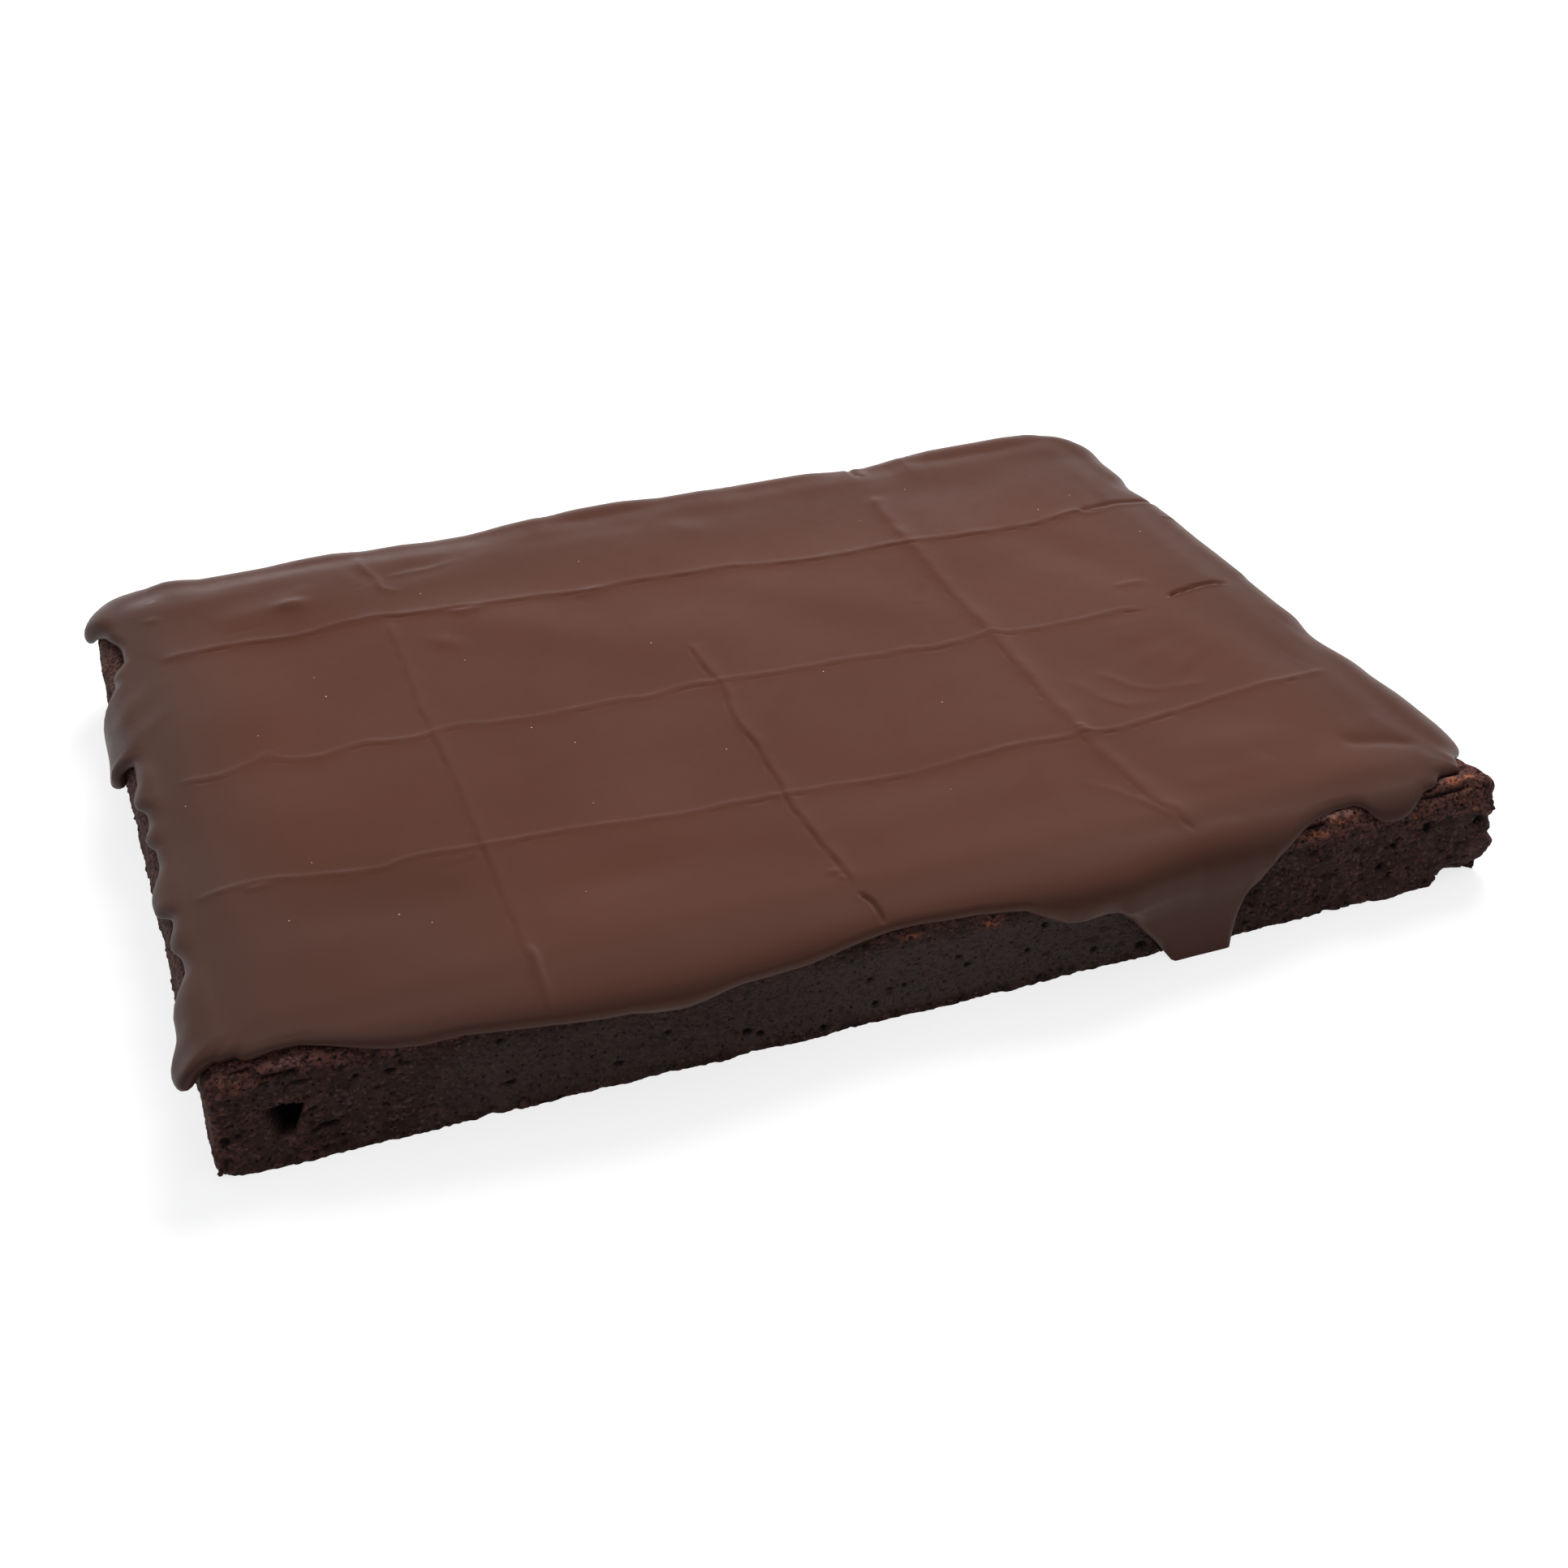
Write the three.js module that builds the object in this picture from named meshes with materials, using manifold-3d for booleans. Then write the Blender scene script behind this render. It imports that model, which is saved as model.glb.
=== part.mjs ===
// A whole tray-baked brownie, uncut, under a poured chocolate glaze.
// Millimetres. The origin is the middle of the flat underside. +X runs along the long
// front edge, +Y to the back and +Z up.
import * as THREE from 'three';
import Module from 'manifold-3d';

const wasm = await Module();
wasm.setup();

// Driving dimensions
const length = 299;
const width = 207;
const cakeHeight = 25;
const glazeThickness = 3.5;
const shoulderThickness = 3;
const edgeRadius = 5;
const gap = 0.3;

// The slab isn't quite square: its right end leans out at the front, its back to the right
const rightSlant = 4.8;
const backSlant = 1.5;
const cornerRadius = { frontLeft: 2.2, frontRight: 4, backRight: 15, backLeft: 20 };
const leastRadius = 0.6;

// The flat middle of the top ends this far in from the sides
const borderInset = 14;
const borderWidth = borderInset - edgeRadius;
const cornerStretch = 50;

// Knife marks under the glaze, each as the points that it passes: along the mark, across it.
// mean is where the mark would run if it were straight.
const longMarks = [
  { mean: -50.5, from: -143, to: 151, height: 0.6,
    path: [[-143, -46.5], [-78, -49.3], [20, -51.5], [107, -52.2], [151, -50.3]] },
  { mean: 1, from: -139, to: 109, height: 0.6,
    path: [[-139, 0.9], [-115, 3.8], [-76, 3.5], [-13, 0.5], [38, 1.5], [109, -2.2], [145, 0.5]] },
  { mean: 55, from: -136, to: 140, height: 0.7,
    path: [[-136, 58.5], [-93, 59], [-28, 57.5], [40, 52.5], [140, 50.5]] },
];
const crossMarks = [
  { mean: -77, from: -104, to: 97, height: 0.4,
    path: [[-104, -79.3], [-60, -77], [-20, -78.3], [40, -75.8], [97, -76.3]] },
  { mean: -7, from: -102, to: 15, height: 0.5,
    path: [[-102, -6], [-77, -7.2], [-46, -8.9], [-3, -5.6], [15, -8.1]] },
  { mean: 69, from: -97, to: 99, height: 0.5,
    path: [[-97, 74.2], [-77, 70.8], [-50, 67.5], [0, 68.5], [53, 67.4], [99, 70.1]] },
];
const markHalfWidth = 1.4;
const markFade = 8;

// The slow unevenness of the poured top, and how much of it shows on the rounded edge
const swellHeight = 0.18;
const rippleHeight = 0.12;
const edgeShare = 0.6;

// How far the glaze runs down past the start of the rounded top edge, and its lobes.
// at: place along the side; before and after: reach each way; flat: level share of the reach;
// drop: how much further it runs; bulge: how much thicker it is there.
const commonDrop = 6.5;
const lobes = [
  { side: 'front', at: -137, before: 26, after: 32, flat: 0.3, drop: -6.3, bulge: 0 },
  { side: 'front', at: -52, before: 40, after: 30, flat: 0, drop: 4.7, bulge: 0.3 },
  { side: 'front', at: -3, before: 20, after: 28, flat: 0, drop: -2.1, bulge: 0 },
  { side: 'front', at: 45, before: 16, after: 20, flat: 0.3, drop: 6.3, bulge: 0.4 },
  { side: 'front', at: 74.5, before: 24, after: 10.5, flat: 0.5, drop: 22, bulge: 0.6 },
  { side: 'front', at: 86, before: 7, after: 7, flat: 0, drop: 7, bulge: 0 },
  { side: 'front', at: 109, before: 20, after: 14, flat: 0.2, drop: -7, bulge: 0 },
  { side: 'front', at: 123.5, before: 8, after: 7, flat: 0, drop: 0.4, bulge: 0.4 },
  { side: 'front', at: 145, before: 19, after: 24, flat: 0.45, drop: -9.3, bulge: 0 },
  { side: 'right', at: -72, before: 18, after: 22, flat: 0.2, drop: 3, bulge: 1.6 },
  { side: 'right', at: -30, before: 18, after: 16, flat: 0, drop: -3, bulge: -0.6 },
  { side: 'right', at: -4, before: 16, after: 12, flat: 0.3, drop: 5.5, bulge: 0.6 },
  { side: 'right', at: 32, before: 13, after: 10, flat: 0.2, drop: 9.5, bulge: 0.9 },
  { side: 'right', at: 58, before: 22, after: 20, flat: 0, drop: -2.5, bulge: -1.6 },
  { side: 'back', at: 112, before: 22, after: 30, flat: 0.35, drop: 6, bulge: 2.6 },
  { side: 'back', at: 72, before: 12, after: 14, flat: 0, drop: -2.5, bulge: -0.8 },
  { side: 'back', at: 44, before: 14, after: 16, flat: 0.2, drop: 4, bulge: 0.5 },
  { side: 'back', at: -6, before: 16, after: 22, flat: 0.25, drop: 9, bulge: 2.2 },
  { side: 'back', at: -44, before: 14, after: 16, flat: 0, drop: -2, bulge: 0 },
  { side: 'back', at: -86, before: 18, after: 14, flat: 0.2, drop: 5, bulge: 0.8 },
  { side: 'left', at: 0, before: 100, after: 100, flat: 0.8, drop: -4, bulge: 0 },
  { side: 'left', at: 91, before: 12, after: 26, flat: 0.3, drop: 4.2, bulge: 1 },
  { side: 'left', at: 67, before: 12, after: 14, flat: 0.2, drop: -3, bulge: 0 },
  { side: 'left', at: 28, before: 13, after: 27, flat: 0.3, drop: 11, bulge: 0.6 },
  { side: 'left', at: -90, before: 10, after: 30, flat: 0.2, drop: 5.2, bulge: 1.2 },
];

// Round nose along the glaze's lip, and the foot where the longest run meets the floor
const noseReach = 3.2;
const lipShare = 0.4;
const footSpread = 1.3;
const footHeight = 2.5;
const footNose = 0.8;
const footFrom = 2.5;
const belowFloor = 5;
const bulgeStart = 3.5;
const lipBand = 2.5;

// The crumb
const crumbRelief = 0.35;
const raggedRelief = 0.9;
const raggedMiddle = 147;
const raggedReach = 20;
const underLip = 3;
const undersideInset = 0.2;
const hole = { x: -134.4, z: 12, radius: 4.2, flatness: 0.8, taper: 0.6, depth: 7, sides: 5 };

// Grid steps over the slab, finer towards the corners
const gridStep = 7.2;
const cornerSteps = [1.8, 2.4, 3.2, 4.6];
const runStops = [54, 60, 66, 75, 80, 83, 86, 89, 94, 100, 106, 112, 117, 120, 126, 130];
const roundSteps = 3;
const sideHeights = [1.4, 4.5, 8, 11.5, 15.5];
const topShares = [0.25, 0.5, 0.75, 1];
const sideShares = [0.35, 0.7, 0.9, 1];

// The glaze is first closed this deep inside the cake, and then cut by it
const insideDepth = 1.5;

const glazeMaterial = new THREE.MeshStandardMaterial({ color: 0x5a3c33, roughness: 0.42, metalness: 0 });
const brownieMaterial = new THREE.MeshStandardMaterial({ color: 0x2a1a16, roughness: 0.9, metalness: 0 });

const flatTop = cakeHeight;
const arcLength = edgeRadius * Math.PI / 2;
const floorDrop = arcLength + cakeHeight - edgeRadius;

const clamp = (value, low, high) => Math.min(Math.max(value, low), high);
const mix = (a, b, share) => a + (b - a) * share;

function smooth(value) {
  const share = clamp(value, 0, 1);
  return share * share * (3 - 2 * share);
}

// Height of a curve that passes through a list of points, level beyond both ends
function through(points, at) {
  const last = points.length - 1;
  if (at <= points[0][0]) return points[0][1];
  if (at >= points[last][0]) return points[last][1];
  const slope = (i) => {
    const a = points[Math.max(i - 1, 0)];
    const b = points[Math.min(i + 1, last)];
    return (b[1] - a[1]) / (b[0] - a[0]);
  };
  const i = points.findIndex((point) => point[0] > at) - 1;
  const run = points[i + 1][0] - points[i][0];
  const t = (at - points[i][0]) / run;
  const rise = points[i + 1][1] - points[i][1];
  const a = slope(i) * run;
  const b = slope(i + 1) * run;
  return points[i][1] + a * t + (3 * rise - 2 * a - b) * t * t + (a + b - 2 * rise) * t ** 3;
}

// A repeatable scatter between -1 and 1
function scatter(a, b) {
  const wave = Math.sin(a * 12.9898 + b * 78.233) * 43758.5453;
  return 2 * (wave - Math.floor(wave)) - 1;
}

// Each side: its half length, the half width across it, its two corners and its directions
const sides = {
  front: { half: length / 2, across: width / 2, low: 'frontLeft', high: 'frontRight' },
  right: { half: width / 2, across: length / 2, low: 'frontRight', high: 'backRight' },
  back: { half: length / 2, across: width / 2, low: 'backLeft', high: 'backRight' },
  left: { half: width / 2, across: length / 2, low: 'frontLeft', high: 'backLeft' },
};

// Turns a place along a side and a distance out from the middle into x and y
function place(side, along, out) {
  if (side === 'front') return [along, -out];
  if (side === 'right') return [out, along];
  if (side === 'back') return [along, out];
  return [-out, along];
}

// Half the length of a side, measured round to the middle of its corner
const reachOf = (half, inset, radius) => half - inset - radius + radius * Math.PI / 4;

// Where a grid line that is `t` from the middle meets the outer edge, measured along the edge
function alongEdge(side, t) {
  const { half, low, high } = sides[side];
  const reach = reachOf(half, 0, cornerRadius[t < 0 ? low : high]);
  const start = reach - cornerStretch;
  const extra = Math.abs(t) - start;
  if (extra <= 0) return t;
  const bend = (reach - (half - borderInset)) / cornerStretch ** 2;
  return Math.sign(t) * (start + (1 - Math.sqrt(Math.max(1 - 4 * bend * extra, 0))) / (2 * bend));
}

// A point of the outline moved inwards by `inset`, for a place measured along the outer edge
function outline(side, edge, inset) {
  const { half, across, low, high } = sides[side];
  const outer = cornerRadius[edge < 0 ? low : high];
  const radius = Math.max(outer - inset, inset < borderInset ? leastRadius : 0);
  const reach = reachOf(half, 0, outer);
  const shrink = reach - reachOf(half, inset, radius);
  const past = Math.max(Math.abs(edge) - (reach - cornerStretch), 0);
  const t = Math.abs(edge) - shrink * (past / cornerStretch) ** 2;
  const straight = half - inset - radius;
  const turn = radius > 0 ? clamp((t - straight) / radius, 0, Math.PI / 4) : 0;
  const along = Math.min(t, straight) + radius * Math.sin(turn);
  const out = across - inset - radius + radius * Math.cos(turn);
  return place(side, Math.sign(edge) * along, out);
}

// Distance round the slab, anticlockwise from the middle of the front left corner
function roundSlab(side, edge) {
  const span = (name, corner) => reachOf(sides[name].half, 0, cornerRadius[corner]);
  const front = span('front', 'frontLeft') + span('front', 'frontRight');
  const right = span('right', 'frontRight') + span('right', 'backRight');
  const back = span('back', 'backRight') + span('back', 'backLeft');
  if (side === 'front') return edge + span('front', 'frontLeft');
  if (side === 'right') return front + edge + span('right', 'frontRight');
  if (side === 'back') return front + right + span('back', 'backRight') - edge;
  return front + right + back + span('left', 'backLeft') - edge;
}
const wholeRound = roundSlab('left', -reachOf(width / 2, 0, cornerRadius.frontLeft));

// Sum of the lobes' shares at a distance round the slab
function sumLobes(round, key) {
  let total = 0;
  for (const lobe of lobes) {
    let away = round - roundSlab(lobe.side, lobe.at);
    away -= Math.round(away / wholeRound) * wholeRound;
    if (lobe.side === 'back' || lobe.side === 'left') away = -away;
    const share = Math.abs(away) / (away < 0 ? lobe.before : lobe.after);
    const fall = clamp((share - lobe.flat) / (1 - lobe.flat), 0, 1);
    total += lobe[key] * 0.5 * (1 + Math.cos(Math.PI * fall));
  }
  return total;
}

const glazeDrop = (round) => commonDrop + sumLobes(round, 'drop');

// The slab's slight lean, applied to every point last of all
function leaned(x, y, z) {
  const right = (x / length + 0.5) * rightSlant * (-2 * y / width);
  const back = (y / width + 0.5) * backSlant * (2 * x / length);
  return new THREE.Vector3(x + right, y + back, z);
}

// A point on the cake's skin, `out` away from it. The run is measured from where the top
// starts to round over: negative on the flat top, positive down the side.
function skin(station, run, out) {
  const outer = outline(station.side, station.edge, 0);
  const inner = outline(station.side, station.edge, edgeRadius);
  const border = outline(station.side, station.edge, borderInset);
  const dx = outer[0] - inner[0];
  const dy = outer[1] - inner[1];
  const wide = Math.hypot(dx, dy);
  if (run <= 0) {
    const share = -run / borderWidth;
    return [mix(inner[0], border[0], share), mix(inner[1], border[1], share), flatTop + out];
  }
  const turn = Math.min(run / edgeRadius, Math.PI / 2);
  const sideways = Math.sin(turn) * (1 + out / wide);
  const z = flatTop - edgeRadius + (edgeRadius + out) * Math.cos(turn) - Math.max(run - arcLength, 0);
  return [inner[0] + dx * sideways, inner[1] + dy * sideways, z];
}

// Raised knife marks and the slow unevenness of the poured top
function topRelief(x, y) {
  const swell = swellHeight * Math.sin(x / 19 + 0.6) * Math.cos(y / 27 + 0.3);
  const ripple = rippleHeight * Math.sin((x - y) / 14);
  const raise = (mark, along, across) => {
    const ends = smooth((along - mark.from) / markFade + 1) * smooth((mark.to - along) / markFade + 1);
    const away = Math.abs(across - through(mark.path, along)) / markHalfWidth;
    return mark.height * ends * Math.max(1 - away, 0);
  };
  const alongX = longMarks.map((mark) => raise(mark, x, y));
  const alongY = crossMarks.map((mark) => raise(mark, y, x));
  return swell + ripple + Math.max(...alongX, ...alongY);
}

// Pulls a grid line over so that the lines nearest to a knife mark run along it
function follow(marks, across, along, limit) {
  const stops = [-limit, ...marks.map((mark) => mark.mean), limit];
  let moved = across;
  marks.forEach((mark, i) => {
    const before = (across - stops[i]) / (mark.mean - stops[i]);
    const after = (stops[i + 2] - across) / (stops[i + 2] - mark.mean);
    const share = Math.max(Math.min(before, after, 1), 0);
    moved += share * (through(mark.path, along) - mark.mean);
  });
  return moved;
}

// Grid lines from one side to the other: fine at both ends, on each mark, even between
function gridLines(limit, marks, extra) {
  const ends = [limit];
  for (const step of cornerSteps) ends.push(ends[ends.length - 1] - step);
  const stops = [...ends, ...ends.map((end) => -end), ...extra];
  for (const mark of marks) stops.push(mark.mean - markHalfWidth, mark.mean, mark.mean + markHalfWidth);
  stops.sort((a, b) => a - b);
  const lines = [stops[0]];
  for (let i = 1; i < stops.length; i++) {
    const count = Math.max(Math.round((stops[i] - stops[i - 1]) / gridStep), 1);
    for (let k = 1; k <= count; k++) lines.push(mix(stops[i - 1], stops[i], k / count));
  }
  return lines;
}

const columns = gridLines(length / 2 - borderInset, crossMarks, runStops);
const rows = gridLines(width / 2 - borderInset, longMarks, []);

// The ends of all grid lines, anticlockwise round the slab
function makeStations() {
  const found = [];
  const add = (side, line, marks, limit, farAcross) => {
    const edge = alongEdge(side, follow(marks, line, farAcross, limit));
    const round = roundSlab(side, edge);
    found.push({ side, edge, round, drop: Math.min(glazeDrop(round), floorDrop) });
  };
  const x = length / 2 - borderInset;
  const y = width / 2 - borderInset;
  for (const line of columns.slice(0, -1)) add('front', line, crossMarks, x, -y);
  for (const line of rows.slice(0, -1)) add('right', line, longMarks, y, x);
  for (const line of columns.slice(1).reverse()) add('back', line, crossMarks, x, y);
  for (const line of rows.slice(1).reverse()) add('left', line, longMarks, y, -x);
  return found;
}

const stations = makeStations();
// How far a station's run counts as standing on the floor, from 0 to 1
const onFloor = (station) => smooth((station.drop - floorDrop) / footFrom + 1);

const lip = stations.map((station) => [station.round, station.drop + belowFloor * onFloor(station)]);

// Shortest way over the skin from a point of it to the glaze's lip
function toLip(round, run) {
  let nearest = Infinity;
  for (let i = 0; i < lip.length; i++) {
    const [a, b] = [lip[i], lip[(i + 1) % lip.length]];
    let ax = a[0] - round;
    ax -= Math.round(ax / wholeRound) * wholeRound;
    const bx = ax + b[0] - a[0] + (i === lip.length - 1 ? wholeRound : 0);
    const [ay, by] = [a[1] - run, b[1] - run];
    const [ex, ey] = [bx - ax, by - ay];
    const t = clamp(-(ax * ex + ay * ey) / (ex * ex + ey * ey), 0, 1);
    nearest = Math.min(nearest, Math.hypot(ax + ex * t, ay + ey * t));
  }
  return nearest;
}

// The glaze's thickness over the skin
function thickness(station, run) {
  const bulge = sumLobes(station.round, 'bulge') * smooth((run + bulgeStart) / arcLength);
  const full = mix(glazeThickness, shoulderThickness, smooth(run / borderWidth + 1)) + bulge;
  const share = clamp(toLip(station.round, run) / noseReach, 0, 1);
  const nose = mix(lipShare, 1, Math.sqrt(1 - (1 - share) ** 2));
  const foot = onFloor(station) * footSpread * Math.exp(-(floorDrop - run) / footHeight);
  return full * mix(nose, Math.max(nose, footNose), onFloor(station)) + foot;
}

// Collects points and triangles of one closed surface
class Surface {
  points = [];
  faces = [];

  add(point) {
    this.points.push(point);
    return this.points.length - 1;
  }

  ring(make) {
    return stations.map((station, i) => this.add(make(station, i)));
  }

  // Band between two rings; the first is the lower or outer one as seen from outside
  band(first, second) {
    first.forEach((a, i) => {
      const next = (i + 1) % first.length;
      this.faces.push([a, first[next], second[next]], [a, second[next], second[i]]);
    });
  }

  // Flat cover of a ring, facing up or down
  cover(ring, centre, up) {
    const middle = this.add(centre);
    ring.forEach((a, i) => {
      const b = ring[(i + 1) % ring.length];
      this.faces.push(up ? [a, b, middle] : [b, a, middle]);
    });
  }

  geometry() {
    const geometry = new THREE.BufferGeometry();
    const flat = this.points.flatMap((point) => [point.x, point.y, point.z]);
    geometry.setAttribute('position', new THREE.Float32BufferAttribute(flat, 3));
    geometry.setIndex(this.faces.flat());
    geometry.computeVertexNormals();
    return geometry;
  }
}

// Crumb: rough where the glaze leaves it bare, and ragged at the right end's front corner
function crumbOut(station, run, row) {
  if (run <= station.drop) return 0;
  const bare = smooth((toLip(station.round, run) - underLip) / underLip);
  const ragged = smooth(1 - Math.abs(station.round - roundSlab('front', raggedMiddle)) / raggedReach);
  const rough = scatter(station.round * 0.37, row);
  return bare * rough * (rough > 0 ? crumbRelief : mix(crumbRelief, raggedRelief, ragged));
}

const cakeRuns = sideHeights.map((z) => floorDrop - z);
for (let k = roundSteps; k >= 0; k--) cakeRuns.push(arcLength * k / roundSteps);

// Closes a stack of rings over an underside into one solid
function stackRings(surface, under, bottom, top, ringPoint) {
  surface.cover(under, leaned(0, 0, bottom), false);
  let below = under;
  cakeRuns.forEach((run, row) => {
    const ring = surface.ring((station) => leaned(...ringPoint(station, run, row)));
    surface.band(below, ring);
    below = ring;
  });
  surface.cover(below, leaned(0, 0, top), true);
  return surface.geometry();
}

function makeCake() {
  const surface = new Surface();
  const under = surface.ring((station) => leaned(...outline(station.side, station.edge, undersideInset), 0));
  const ringPoint = (station, run, row) => skin(station, run, crumbOut(station, run, row));
  return stackRings(surface, under, 0, flatTop, ringPoint);
}

// The space that the cake takes up under the glaze: its smooth skin and the gap round it
function makeCakeSpace() {
  const surface = new Surface();
  const under = surface.ring((station) => leaned(...skin(station, floorDrop + 1, gap)));
  return stackRings(surface, under, -1, flatTop + gap, (station, run) => skin(station, run, gap));
}

// The runs at which the glaze's outer rings are laid, for one station
function ringRuns(drop) {
  const bend = Math.min(drop - lipBand, arcLength);
  const onTop = topShares.map((share) => mix(-borderWidth, bend, share));
  const below = sideShares.map((share) => mix(bend, drop, share));
  return [...onTop, ...below];
}

function makeGlaze() {
  const surface = new Surface();
  const x = length / 2 - borderInset;
  const y = width / 2 - borderInset;
  const grid = rows.map((row) => columns.map((column) => {
    const px = follow(crossMarks, column, row, x);
    const py = follow(longMarks, row, column, y);
    return surface.add(leaned(px, py, flatTop + glazeThickness + topRelief(px, py)));
  }));
  for (let j = 0; j + 1 < rows.length; j++) {
    for (let i = 0; i + 1 < columns.length; i++) {
      const [a, b, c, d] = [grid[j][i], grid[j][i + 1], grid[j + 1][i + 1], grid[j + 1][i]];
      surface.faces.push([a, b, c], [a, c, d]);
    }
  }
  const lastRow = rows.length - 1;
  const lastColumn = columns.length - 1;
  const border = [
    ...grid[0].slice(0, -1),
    ...grid.slice(0, -1).map((line) => line[lastColumn]),
    ...grid[lastRow].slice(1).reverse(),
    ...grid.slice(1).reverse().map((line) => line[0]),
  ];
  const outerRing = (level) => surface.ring((station) => {
    const run = ringRuns(station.drop)[level];
    const point = skin(station, run, thickness(station, run));
    const fade = run < arcLength ? mix(edgeShare, 1, smooth(-run / borderWidth)) : 0;
    return leaned(point[0], point[1], Math.max(point[2] + fade * topRelief(point[0], point[1]), 0));
  });
  let above = border;
  for (let level = 0; level < topShares.length + sideShares.length; level++) {
    const ring = outerRing(level);
    surface.band(ring, above);
    above = ring;
  }
  const insideRuns = [(drop) => drop, (drop) => Math.min(drop - noseReach, 0), () => -borderWidth];
  for (const runOf of insideRuns) {
    const ring = surface.ring((station) => leaned(...skin(station, runOf(station.drop), -insideDepth)));
    surface.band(ring, above);
    above = ring;
  }
  surface.cover(above, leaned(0, 0, flatTop - insideDepth), false);
  return surface.geometry();
}

function toSolid(geometry) {
  const vertProperties = new Float32Array(geometry.attributes.position.array);
  const triVerts = new Uint32Array(geometry.index.array);
  return new wasm.Manifold(new wasm.Mesh({ numProp: 3, vertProperties, triVerts }));
}

function toGeometry(solid) {
  const { vertProperties, triVerts } = solid.getMesh();
  const geometry = new THREE.BufferGeometry();
  geometry.setAttribute('position', new THREE.BufferAttribute(vertProperties, 3));
  geometry.setIndex(new THREE.BufferAttribute(triVerts, 1));
  geometry.computeVertexNormals();
  return geometry;
}

// The air pocket that opens in the front face: a blunt cone that narrows inwards
function holeGeometry() {
  const surface = new Surface();
  const front = -width / 2 - 2;
  const ringAt = (y, radius) => {
    const ring = [];
    for (let k = 0; k < hole.sides; k++) {
      const turn = (k / hole.sides) * 2 * Math.PI + 0.5;
      const x = hole.x + radius * Math.cos(turn);
      const z = hole.z + radius * hole.flatness * Math.sin(turn);
      ring.push(surface.add(new THREE.Vector3(x, y, z)));
    }
    return ring;
  };
  const mouth = ringAt(front, hole.radius);
  const inside = ringAt(front + hole.depth, hole.radius * hole.taper);
  surface.band(inside, mouth);
  surface.cover(inside, new THREE.Vector3(hole.x, front + hole.depth + 1, hole.z), false);
  surface.cover(mouth, new THREE.Vector3(hole.x, front, hole.z), true);
  return surface.geometry();
}

// The largest piece of a solid, without the slivers that a cut can leave
function largestPiece(solid) {
  const pieces = solid.decompose();
  return pieces.reduce((best, piece) => (piece.volume() > best.volume() ? piece : best));
}

const cake = toSolid(makeCake()).subtract(toSolid(holeGeometry()));
const cover = largestPiece(toSolid(makeGlaze()).subtract(toSolid(makeCakeSpace())));

const group = new THREE.Group();

const brownie = new THREE.Mesh(toGeometry(cake), brownieMaterial);
brownie.name = 'brownie';
group.add(brownie);

const glaze = new THREE.Mesh(toGeometry(cover), glazeMaterial);
glaze.name = 'glaze';
group.add(glaze);

export default group;
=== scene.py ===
import itertools
import math

import bpy
import numpy as np
from mathutils import Matrix, Vector


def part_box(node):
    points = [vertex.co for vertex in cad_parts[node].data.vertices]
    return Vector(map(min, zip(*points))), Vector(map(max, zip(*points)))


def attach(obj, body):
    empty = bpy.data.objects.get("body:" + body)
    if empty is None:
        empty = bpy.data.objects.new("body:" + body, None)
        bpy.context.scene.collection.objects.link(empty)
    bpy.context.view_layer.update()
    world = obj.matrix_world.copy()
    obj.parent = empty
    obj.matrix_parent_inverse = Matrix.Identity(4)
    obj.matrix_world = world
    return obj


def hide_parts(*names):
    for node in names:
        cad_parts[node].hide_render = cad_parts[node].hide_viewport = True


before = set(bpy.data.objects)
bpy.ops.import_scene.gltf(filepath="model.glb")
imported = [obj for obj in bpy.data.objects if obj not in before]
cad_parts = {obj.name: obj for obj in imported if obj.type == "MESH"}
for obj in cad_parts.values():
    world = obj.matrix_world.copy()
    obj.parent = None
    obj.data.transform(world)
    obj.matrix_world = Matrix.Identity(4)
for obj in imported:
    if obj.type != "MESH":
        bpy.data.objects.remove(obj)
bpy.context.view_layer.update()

mm = 0.001
print("frame loaded")

# The camera stands where the photograph was taken from.
view = {
    "place": (-0.15913, -0.44180, 0.31334),
    "yaw": 21.175,     # degrees to the right of straight at the front face
    "pitch": 34.080,   # degrees down
    "roll": 0.597,
    "lens": 50.03,
    "sensor": 36.0,
    "nearest": 0.01,
}


def makeCamera():
    data = bpy.data.cameras.new("camera")
    data.lens = view["lens"]
    data.sensor_width = view["sensor"]
    data.clip_start = view["nearest"]
    camera = bpy.data.objects.new("camera", data)
    bpy.context.scene.collection.objects.link(camera)
    turned = Matrix.Rotation(math.radians(-view["yaw"]), 4, "Z")
    tipped = Matrix.Rotation(math.radians(90 - view["pitch"]), 4, "X")
    rolled = Matrix.Rotation(math.radians(view["roll"]), 4, "Z")
    camera.matrix_world = Matrix.Translation(view["place"]) @ turned @ tipped @ rolled
    bpy.context.scene.camera = camera


makeCamera()
print("camera made")

# Millimetres from here on, until a mesh is made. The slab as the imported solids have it.
slab = {
    "length": 299.0,
    "width": 207.0,
    "cakeHeight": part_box("brownie")[1].z / mm,
    "edgeRadius": 5.0,
    "rightSlant": 4.8,     # the right end leans out at the front
    "backSlant": 1.5,      # and the back to the right
    "cornerRadius": {"frontLeft": 2.2, "frontRight": 4.0, "backRight": 15.0, "backLeft": 20.0},
    "leastRadius": 0.6,
    "borderInset": 14.0,   # the flat middle of the top ends this far in
    "cornerStretch": 50.0,
}
length, width, cakeHeight = slab["length"], slab["width"], slab["cakeHeight"]
edgeRadius, borderInset = slab["edgeRadius"], slab["borderInset"]
cornerRadius, cornerStretch = slab["cornerRadius"], slab["cornerStretch"]
borderWidth = borderInset - edgeRadius
arcLength = edgeRadius * math.pi / 2
floorRun = arcLength + cakeHeight - edgeRadius


def smooth(value):
    share = np.clip(value, 0, 1)
    return share * share * (3 - 2 * share)


def mixed(a, b, share):
    return a + (b - a) * share


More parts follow.
